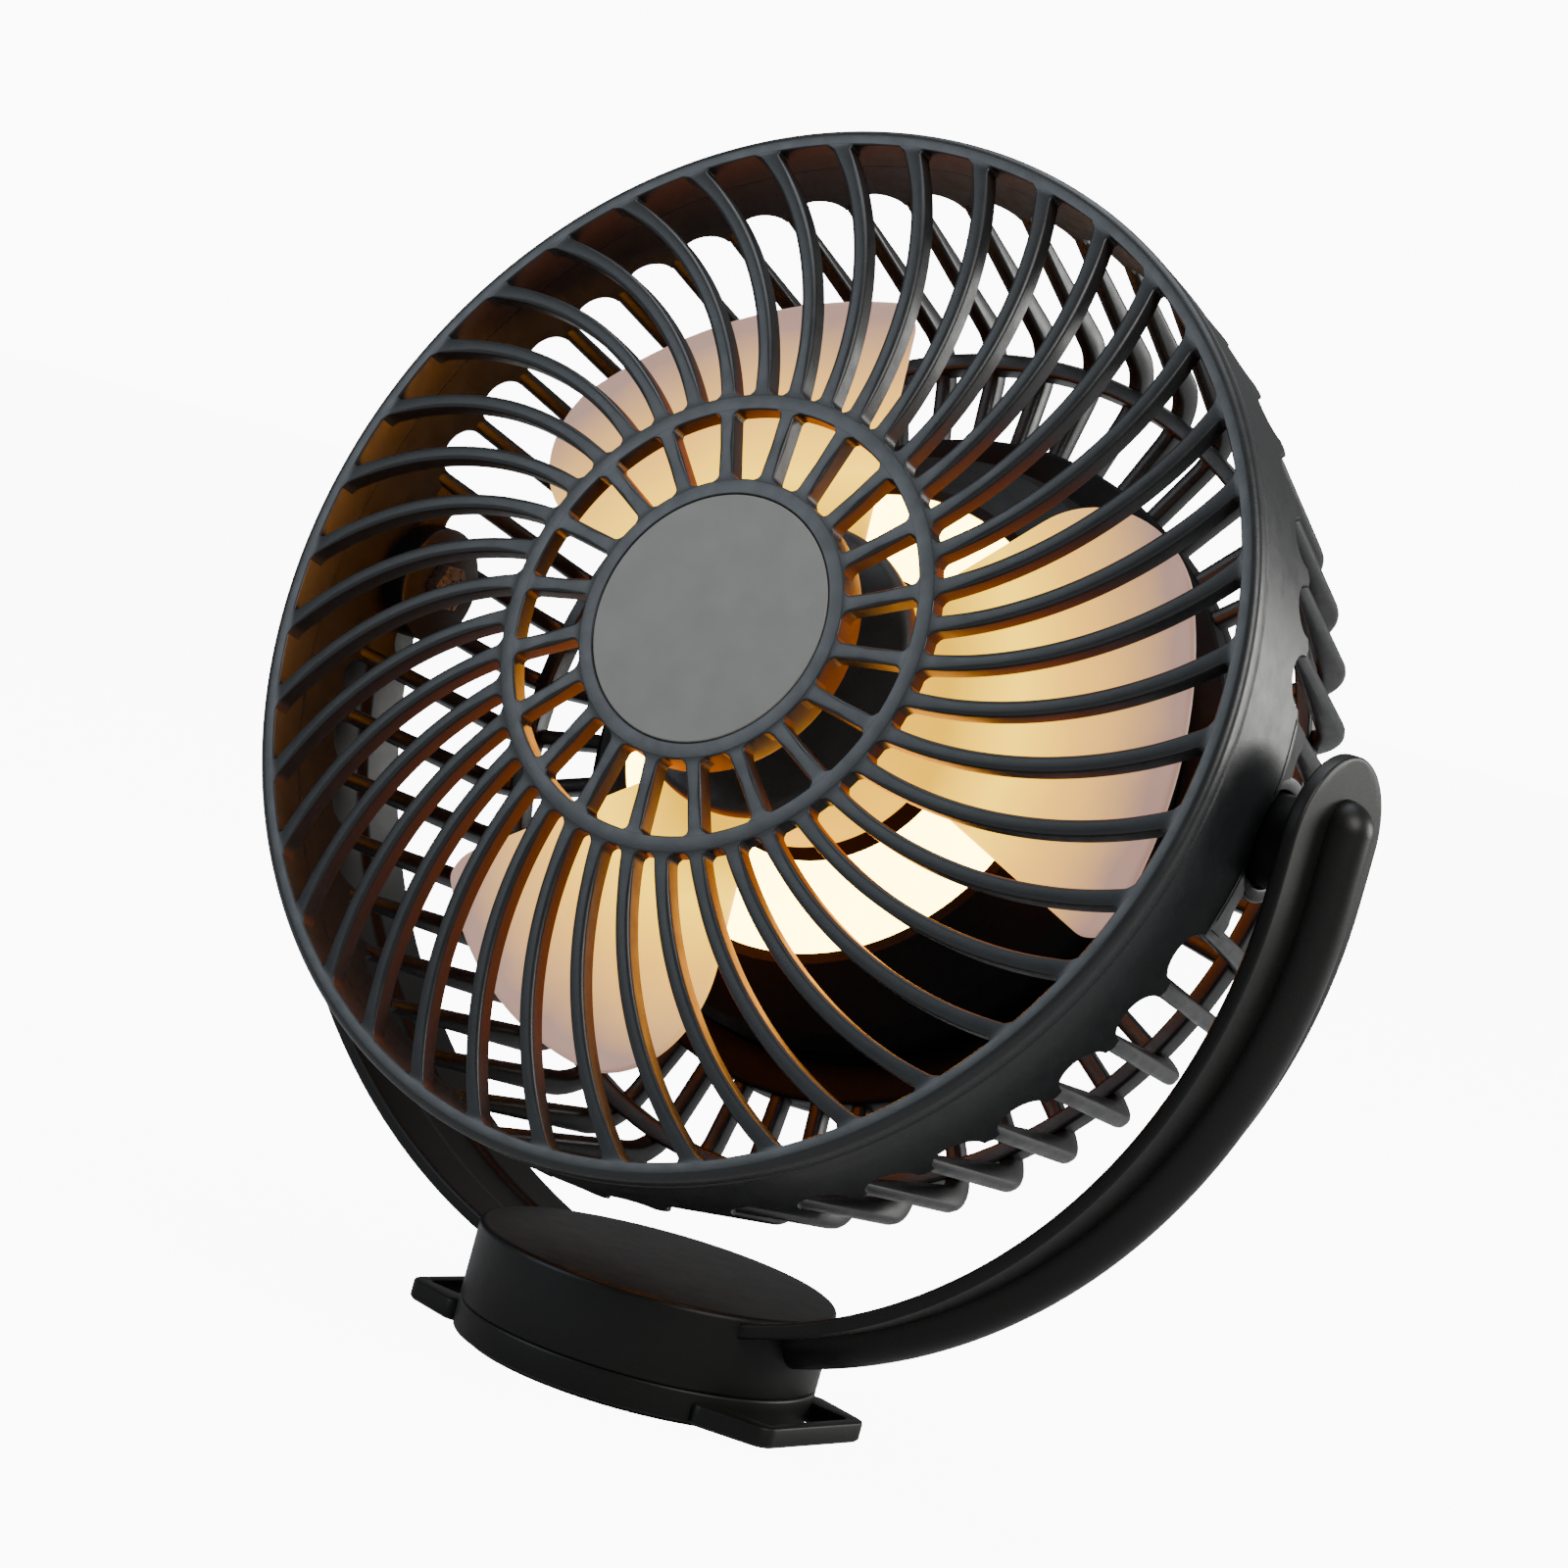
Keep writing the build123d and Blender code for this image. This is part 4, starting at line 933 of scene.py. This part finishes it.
@dataclass
class Rotor:
    """Three frosted blades on a cup, and the cap on the cup's front."""

    hub: float = 22.4
    hub_wall: float = 1.8
    hub_back: float = -4.5
    hub_front: float = 12.4
    web: float = 2.0
    boss: float = 6.0
    boss_back: float = 2.6
    shaft: float = 2.0
    shaft_front: float = 9.8
    blades: int = 3
    tip: float = 66.0
    start: float = 45.5
    span: float = 65.0
    thick: float = 1.8
    camber: float = 1.6
    near: float = 11.2
    far: float = 74.8
    margin: float = 4.0
    near_lead: float = -3.6
    near_trail: float = 11.6
    far_lead: float = 0.8
    far_trail: float = 18.0
    trail_round: float = 16.5
    lead_round: float = 4.5
    cap: float = 23.6
    cap_thick: float = 2.8
    cap_round: float = 1.6

    def edge_angle(self, radius: Array, corner: float) -> Array:
        """Angle from a blade's middle to one of its edges: straight, then round the tip's corner.

        Args:
            radius: distances from the fan axis.
            corner: radius of the rounded corner at the tip.

        Returns:
            Angles in radians.
        """
        half = radians(self.span / 2)
        spot = self.tip - corner
        turned = np.arcsin(corner / spot)
        reach = (radius**2 + spot**2 - corner**2) / (2 * spot * radius)
        bent = half - turned + np.arccos(np.clip(reach, -1, 1))
        return np.where(radius < spot * np.cos(turned), half, bent)

    def middle(self, x: Array, y: Array) -> Array:
        """Height of a blade's middle skin: straight lines from a near curve to a far one.

        Args:
            x: distance along the blade's middle line.
            y: distance beside it, positive towards the trailing edge.

        Returns:
            Heights along the fan axis.
        """
        share = (y / (x * tan(radians(self.span / 2 + self.margin))) + 1) / 2
        along = (x - self.near) / (self.far - self.near)
        near = self.near_lead + (self.near_trail - self.near_lead) * share
        far = self.far_lead + (self.far_trail - self.far_lead) * share
        return near + (far - near) * along - self.camber * (1 - (2 * share - 1) ** 2)

    def blade(self) -> Array:
        """One blade about the X axis, its rims fully rounded.

        Returns:
            Grid of shape (root to tip, around the section, 3).
        """
        inner = self.hub - self.hub_wall / 2
        radius = inner + (self.tip - inner) * np.sin(np.linspace(0, pi / 2, 48))[:, None]
        lead = -self.edge_angle(radius, self.lead_round)
        trail = self.edge_angle(radius, self.trail_round)
        angle = lead + (trail - lead) * crowded(34)
        x, y = radius * np.cos(angle), radius * np.sin(angle)
        beside = np.minimum(radius * (trail - angle), radius * (angle - lead))
        half = self.thick / 2
        skin = arch(half, half - np.clip(np.minimum(beside, self.tip - radius), 0, half))
        height = self.middle(x, y)
        top, low = joined(x, y, height + skin), joined(x, y, height - skin)
        return np.concatenate([top, low[:, -2:0:-1]], axis=1)

    def build(self) -> None:
        """Build the impeller and its cap."""
        one = self.blade()
        turns = radians(90 - self.start - self.span / 2) + evenly(self.blades)
        blades = spun(np.concatenate([pinched(one[:1]), one]), turns)
        shell = Shell(HEAD.set_down).grid(blades, wrap_v=True)
        cup, web = self.hub - self.hub_wall, self.hub_front - self.web
        shell.turned([
            (AXIS, self.hub_front, 0), (self.hub, self.hub_front, 0.6),
            (self.hub, self.hub_back, 0.6), (cup, self.hub_back, 0.4), (cup, web, 0.8),
            (self.boss, web, 0.5), (self.boss, self.boss_back, 0.4),
            (self.shaft, self.boss_back, 0), (self.shaft, self.shaft_front, 0),
            (AXIS, self.shaft_front, 0),
        ], 144)
        shell.finish("frosted_impeller", Body.ROTOR, "clear_blade", Finish.BLADE, "impeller")
        top = self.hub_front + self.cap_thick
        cap = Shell(HEAD.set_down).turned([
            (AXIS, self.hub_front, 0), (self.cap, self.hub_front, 0.3),
            (self.cap, top, self.cap_round), (AXIS, top, 0),
        ], 144)
        cap.finish("rotor_cap", Body.ROTOR, "hub_plastic", Finish.HUB, "hub_cap")


@dataclass
class Yoke:
    """Bowed strap with round ears and a raised spine, pivot bosses and the puck below it."""

    inside: float = 88.6
    thick: float = 2.3
    width: float = 26.4
    bow_z: float = 101.8
    ear_z: float = 109.1
    edge_round: float = 0.5
    strap_steps: int = 110
    spine_steps: int = 120
    spine_rise: float = 4.7
    spine_r: float = 4.6
    spine_tip_z: float = 111.6
    spine_sink: float = 0.5
    channel_half: float = 4.0
    channel_slope: float = 0.8
    channel_depth: float = 0.7
    channel_drop: float = 1.0
    channel_run: float = 4.0
    boss: float = 6.9
    boss_end: float = 79.4
    boss_lap: float = 1.5
    bolt: float = 2.06
    bolt_depth: float = 7.6
    puck: float = 28.4
    puck_low: float = 5.6
    puck_top: float = 17.9
    puck_round: float = 0.9
    across_shares: tuple[float, ...] = (
        0, 0.1, 0.2, 0.27, 0.3, 0.34, 0.4, 0.55, 0.75, 0.93, 0.962, 0.975, 0.985, 0.993, 0.998, 1)

    def carried(self, rise: Array, steps: int, offset: Array, beside: Array) -> Array:
        """Carry a section from the right ear's top round the bow to the left one's.

        Args:
            rise: heights on the right ear, from its top down.
            steps: points on the bow.
            offset: how far each point of the section lies outside the strap's inside.
            beside: how far it lies beside the middle, along Y.

        Returns:
            Grid of shape (along, section, 3).
        """
        bow = unit(-np.linspace(0, pi, steps))
        right = joined(self.inside, rise)
        level = joined(np.ones_like(rise), 0.0)
        middle = self.inside * bow + np.array([0, self.bow_z])
        spots = np.concatenate([right, middle, right[::-1] * np.array([-1, 1])])
        out = np.concatenate([level, bow, -level])
        flat = spots[:, None] + out[:, None] * offset[..., None]
        return joined(flat[..., 0], beside, flat[..., 1])

    def strap(self) -> Array:
        """Strap as two skins with rounded edges and a shallow channel inside.

        Returns:
            Grid of shape (along, around, 3).
        """
        full, steps = self.width / 2, self.strap_steps
        ear = self.ear_z + full * np.sin(np.linspace(pi / 2, 0, 26))
        rise = np.append(ear, (self.ear_z + self.bow_z) / 2)
        above = np.concatenate([rise, np.full(steps, self.bow_z), rise[::-1]])[:, None] - self.ear_z
        up = np.maximum(above, 0)
        right = np.array(self.across_shares)
        across = arch(full, up) * np.concatenate([-right[:0:-1], right])
        sunk = flare(full - np.hypot(across, up), self.edge_round)
        slope = self.channel_slope
        deep = np.clip((self.channel_half + slope / 2 - np.abs(across)) / slope, 0, 1)
        deep = deep * np.clip((-self.channel_drop - above) / self.channel_run, 0, 1)
        inner = sunk + self.channel_depth * eased(deep)
        offset = np.concatenate([inner, (self.thick - sunk)[:, ::-1]], axis=1)
        beside = np.concatenate([across, across[:, ::-1]], axis=1)
        return self.carried(rise, steps, offset, beside)

    def spine(self) -> Array:
        """Half-round bar on the strap's outside, drawn in as a quarter circle at both tips.

        Returns:
            Grid of shape (along, section, 3).
        """
        tip, steps = np.linspace(pi / 2, 0, 12), self.spine_steps
        rise = self.spine_tip_z + self.spine_r * np.sin(tip)
        rise = np.append(rise, (self.spine_tip_z + self.bow_z) / 2)
        size = np.append(np.cos(tip), 1.0) * self.spine_r
        radius = np.concatenate([size, np.full(steps, self.spine_r), size[::-1]])[:, None]
        angle = np.linspace(-pi / 2, pi / 2, 25)
        foot = np.full((len(radius), 1), self.thick - self.spine_sink)
        crown = self.thick + self.spine_rise - self.spine_r + radius * np.cos(angle)
        beside = radius * np.sin(np.concatenate([angle[:1], angle, angle[-1:]]))
        return self.carried(rise, steps, np.concatenate([foot, crown, foot], axis=1), beside)

    def build(self) -> None:
        """Build the yoke as one piece."""
        shell = Shell().tube(self.strap()).tube(self.spine())
        shell.turned([
            (AXIS, self.puck_low, 0), (self.puck, self.puck_low, 0.4),
            (self.puck, self.puck_top, self.puck_round), (AXIS, self.puck_top, 0),
        ], 192)
        deep, end = self.boss_end + self.bolt_depth, self.inside + self.boss_lap
        bosses = pivot_pair([
            (self.bolt, self.boss_end, 0), (self.boss, self.boss_end, 0.3), (self.boss, end, 0),
            (AXIS, end, 0), (AXIS, deep, 0), (self.bolt, deep, 0),
        ])
        shell.ring(bosses + np.array([0, 0, HEAD.pivot_height]))
        shell.finish("bowed_yoke", Body.YOKE, "charcoal_plastic", Finish.BODY, "yoke")


@dataclass
class Base:
    """Base plate under the puck, with a strap loop on each side."""

    radius: float = 28.4
    top: float = 5.6
    foot: float = 0.8
    plate_round: float = 0.5
    loop_x: float = 35.2
    loop_bar: float = 2.2
    loop_top: float = 4.0
    loop_half: float = 13.8
    loop_round: float = 3.2
    root_in: float = 6.0
    root_half: float = 16.6
    root_run: float = 3.8
    root_round: float = 2.0
    slot_in: float = 3.0
    slot_half: float = 11.4
    slot_round: float = 1.2
    edge: float = 0.45
    edge_share: float = 0.3
    well: float = 7.2
    well_z: float = 3.2
    bolt: float = 3.05

    def loop(self) -> Array:
        """Flat loop on the right: a rounded outline and a rounded slot, from foot to top.

        Returns:
            Grid of shape (around, section, 3).
        """
        root, end, half = self.radius - self.root_in, self.loop_x, self.loop_half
        lean = (self.root_half - half) / (end - self.radius + self.loop_bar)
        wide = self.root_half + lean * self.root_run
        bend, turn = self.root_round, self.loop_round
        outer = rounded(
            [(root, -wide, bend), (end, -half, turn), (end, half, turn), (root, wide, bend)],
            steps=10)
        near, far = root + self.slot_in, end - self.loop_bar
        half, turn = self.slot_half, self.slot_round
        inner = rounded(
            [(near, -half, turn), (far, -half, turn), (far, half, turn), (near, half, turn)],
            steps=10)
        toward = inner - outer
        toward /= np.linalg.norm(toward, axis=1, keepdims=True)
        edge, soft = self.edge, self.edge * self.edge_share
        foot, top = self.foot, self.loop_top
        rows = (
            (outer, edge, foot), (outer, 0, foot + edge), (outer, 0, top - edge),
            (outer, soft, top - soft), (outer, edge, top), (inner, -edge, top),
            (inner, -soft, top - soft), (inner, 0, top - edge), (inner, 0, foot + edge),
            (inner, -edge, foot),
        )
        lines = [joined(*(line + toward * inset).T, height) for line, inset, height in rows]
        return np.stack(lines, axis=1)

    def build(self) -> None:
        """Build the plate and its loops as one piece."""
        shell = Shell().turned([
            (self.well, self.foot, 0), (self.radius, self.foot, self.plate_round),
            (self.radius, self.top, self.plate_round), (self.bolt, self.top, 0),
            (self.bolt, self.well_z, 0), (self.well, self.well_z, 0),
        ], 192)
        loop = self.loop()
        shell.ring(np.stack([loop, loop * MIRROR_X]))
        shell.finish("loop_base", Body.BASE, "charcoal_plastic", Finish.BODY, "base_plate")


@dataclass
class Drum:
    """Nodes that keep their solids, the lamp's ring lens and the screws of the back cover."""

    screw_x: float = 28.0
    screw_y: float = 24.0
    back_z: float = -50.0
    head: float = 2.7
    head_edge: float = 0.35
    rise: float = 0.7
    shoulder: float = 0.3
    drive: float = 1.25
    drive_z: float = 0.05
    lens_in: float = 25.3
    lens_out: float = 37.7
    lens_in_z: float = -7.2
    lens_out_z: float = -8.7
    lens_round: float = 0.3
    lens_wall: float = 1.6
    lens_back: float = -12.3
    lens_lap: float = 1.7
    lap_gap: float = 0.05
    lap_thick: float = 0.4
    lap_round: float = 0.15
    dressed: dict[Finish, Sequence[str]] = field(default_factory=lambda: {
        Finish.DRUM: ("motor_housing", "battery_cradle", "button_switches"),
        Finish.BODY: ("back_cover",),
        Finish.BOARD: ("lamp_board", "control_board"),
        Finish.CAN: ("motor_can",),
        Finish.STEEL: (
            "motor_bearing", "motor_shaft", "charging_socket", "pivot_bolts", "swivel_bolt"),
        Finish.CELL: ("battery_cells",),
        Finish.BUTTON: ("fan_button", "lamp_button"),
        Finish.RUBBER: ("foot_pad",),
    })

    def screw(self) -> Array:
        """Screw head with a six-sided drive, about the Z axis and facing up.

        Returns:
            Grid of shape (rows, around, 3).
        """
        angle = evenly(36)
        six = cos(pi / 6) / np.cos((angle + pi / 6) % (pi / 3) - pi / 6) * self.drive
        rim = np.full_like(angle, self.head)
        radius = np.stack([rim, rim, rim - self.head_edge, six, six, six * AXIS])
        height = np.array([
            0, self.rise - self.shoulder, self.rise, self.rise, self.drive_z, self.drive_z])
        return around(radius, angle, height[:, None])

    def lens(self) -> list[Corner]:
        """Outline of the ring lens, open at the back, with a thin lap over the lip inside it.

        Returns:
            Radius, height and rounding of each corner.
        """
        inner, outer, back, wall = self.lens_in, self.lens_out, self.lens_back, self.lens_wall
        lap, lip = inner - self.lens_lap, self.lens_in_z + self.lap_gap
        lip_top = lip + self.lap_thick
        return [
            (inner, back, 0), (inner, lip, 0), (lap, lip, 0), (lap, lip_top, self.lap_round),
            (inner, lip_top, 0), (outer, self.lens_out_z, self.lens_round), (outer, back, 0),
            (outer - wall, back, 0), (outer - wall, self.lens_out_z - wall, 0),
            (inner + wall, self.lens_in_z - wall, 0), (inner + wall, back, 0),
        ]

    def build(self) -> None:
        """Dress the kept solids and add the lens and the screws."""
        for finish, nodes in self.dressed.items():
            for node in nodes:
                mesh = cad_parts[node].data
                mesh.materials.clear()
                mesh.materials.append(finish.material())
        ring = Shell(HEAD.set_down).turned(self.lens(), 160)
        ring.finish("lamp_ring", Body.HEAD, "milky_lens", Finish.LENS, "lamp_lens")
        head = self.screw() * np.array([1, 1, -1]) + np.array([0, 0, self.back_z])
        sides = np.array([(1, 1, 0), (1, -1, 0), (-1, 1, 0), (-1, -1, 0)])
        spots = sides * np.array([self.screw_x, self.screw_y, 0])
        shell = Shell(HEAD.set_down).grid(head[None] + spots[:, None, None], wrap_v=True)
        shell.finish("cover_screws", Body.HEAD, "bright_steel", Finish.STEEL)


@dataclass
class Studio:
    """White sweep, soft lights and the camera, in metres."""

    eye: tuple[float, float, float] = (0.3441, -0.5266, 0.1356)
    ahead: tuple[float, float, float] = (-0.5471, 0.8344, -0.0660)
    up: tuple[float, float, float] = (-0.2556, -0.0915, 0.9624)
    lens: float = 94.9
    sensor: float = 36.0
    clip_start: float = 0.01
    target: tuple[float, float, float] = (0, 0, 0.1)
    lights: Sequence[tuple[str, tuple[float, float, float], float, float, Colour]] = (
        ("key_light", (0.80, -0.20, 0.70), 0.6, 11.0, (1.0, 0.98, 0.95)),
        ("front_light", (-0.66, -0.90, 0.62), 0.8, 9.0, (0.80, 0.90, 1.0)),
        ("top_light", (-0.1, 0.1, 1.1), 0.9, 9.0, (0.90, 0.95, 1.0)),
        ("side_light", (0.66, 0.95, 0.36), 0.45, 7.5, (1.0, 1.0, 0.97)),
    )
    floor_half: float = 6.0
    floor_grey: float = 0.4
    floor_cast: float = 0.15
    floor_seen: float = 10.4
    world_cast: float = 0.22
    world_seen: float = 11.0

    def camera(self) -> None:
        """Set the camera that the photograph was fitted with."""
        ahead = Vector(self.ahead).normalized()
        right = ahead.cross(Vector(self.up)).normalized()
        up = right.cross(ahead)
        place = Matrix((right, up, -ahead)).transposed().to_4x4()
        place.translation = Vector(self.eye)
        data = bpy.data.cameras.new("photo_camera")
        data.lens = self.lens
        data.sensor_width = self.sensor
        data.clip_start = self.clip_start
        camera = put("photo_camera", data)
        camera.matrix_world = place
        bpy.context.scene.camera = camera

    def lamps(self) -> None:
        """Hang the soft lights, each turned to the fan's middle."""
        for name, place, size, power, colour in self.lights:
            data = bpy.data.lights.new(name, "AREA")
            data.shape = "DISK"
            data.size = size
            data.energy = power
            data.color = colour
            lamp = put(name, data)
            lamp.location = place
            toward = Vector(self.target) - Vector(place)
            lamp.rotation_euler = toward.to_track_quat("-Z", "Y").to_euler()

    @staticmethod
    def shine(tree: bpy.types.NodeTree, shader: bpy.types.Node, socket: str, cast: float,
              seen: float) -> None:
        """Set how strongly a shader shines, apart for the camera and for everything else.

        Args:
            tree: the shader's tree.
            shader: the node that shines.
            socket: its input for the strength.
            cast: strength of the light that it throws on the fan.
            seen: strength where the camera sees it.
        """
        path = add_node(tree, "ShaderNodeLightPath")
        power = add_node(tree, "ShaderNodeMapRange", {"To Min": cast, "To Max": seen})
        wire(tree, (path, "Is Camera Ray", power, "Value"), (power, "Result", shader, socket))

    def sweep(self) -> None:
        """Lay the pale floor and set the white surroundings, which light the fan only softly."""
        half, grey = self.floor_half, self.floor_grey
        corners = [(-half, -half, 0), (half, -half, 0), (half, half, 0), (-half, half, 0)]
        mesh = bpy.data.meshes.new("pale_floor")
        mesh.from_pydata(corners, [], [(0, 1, 2, 3)])
        floor = put("pale_floor", mesh)
        material, shader = blank_material("floor_white", {
            "Base Color": (grey, grey, grey, 1), "Roughness": 0.9, "Specular IOR Level": 0.0,
            "Emission Color": WHITE,
        })
        tree = material.node_tree
        self.shine(tree, shader, "Emission Strength", self.floor_cast, self.floor_seen)
        mesh.materials.append(material)
        world = bpy.data.worlds.new("studio_white")
        world.use_nodes = True
        bpy.context.scene.world = world
        ground = world.node_tree.nodes["Background"]
        ground.inputs["Color"].default_value = WHITE
        self.shine(world.node_tree, ground, "Strength", self.world_cast, self.world_seen)

    def build(self) -> None:
        """Set up the whole studio."""
        self.camera()
        self.lamps()
        self.sweep()


def main() -> None:
    """Build the fan's pieces in order, then the studio."""
    logging.basicConfig(level=logging.INFO, format="%(name)s %(message)s")
    for part in (FrontGuard(), RearCage(), Rotor(), Yoke(), Base(), Drum()):
        part.build()
    Studio().build()


if __name__ == "__main__":
    main()
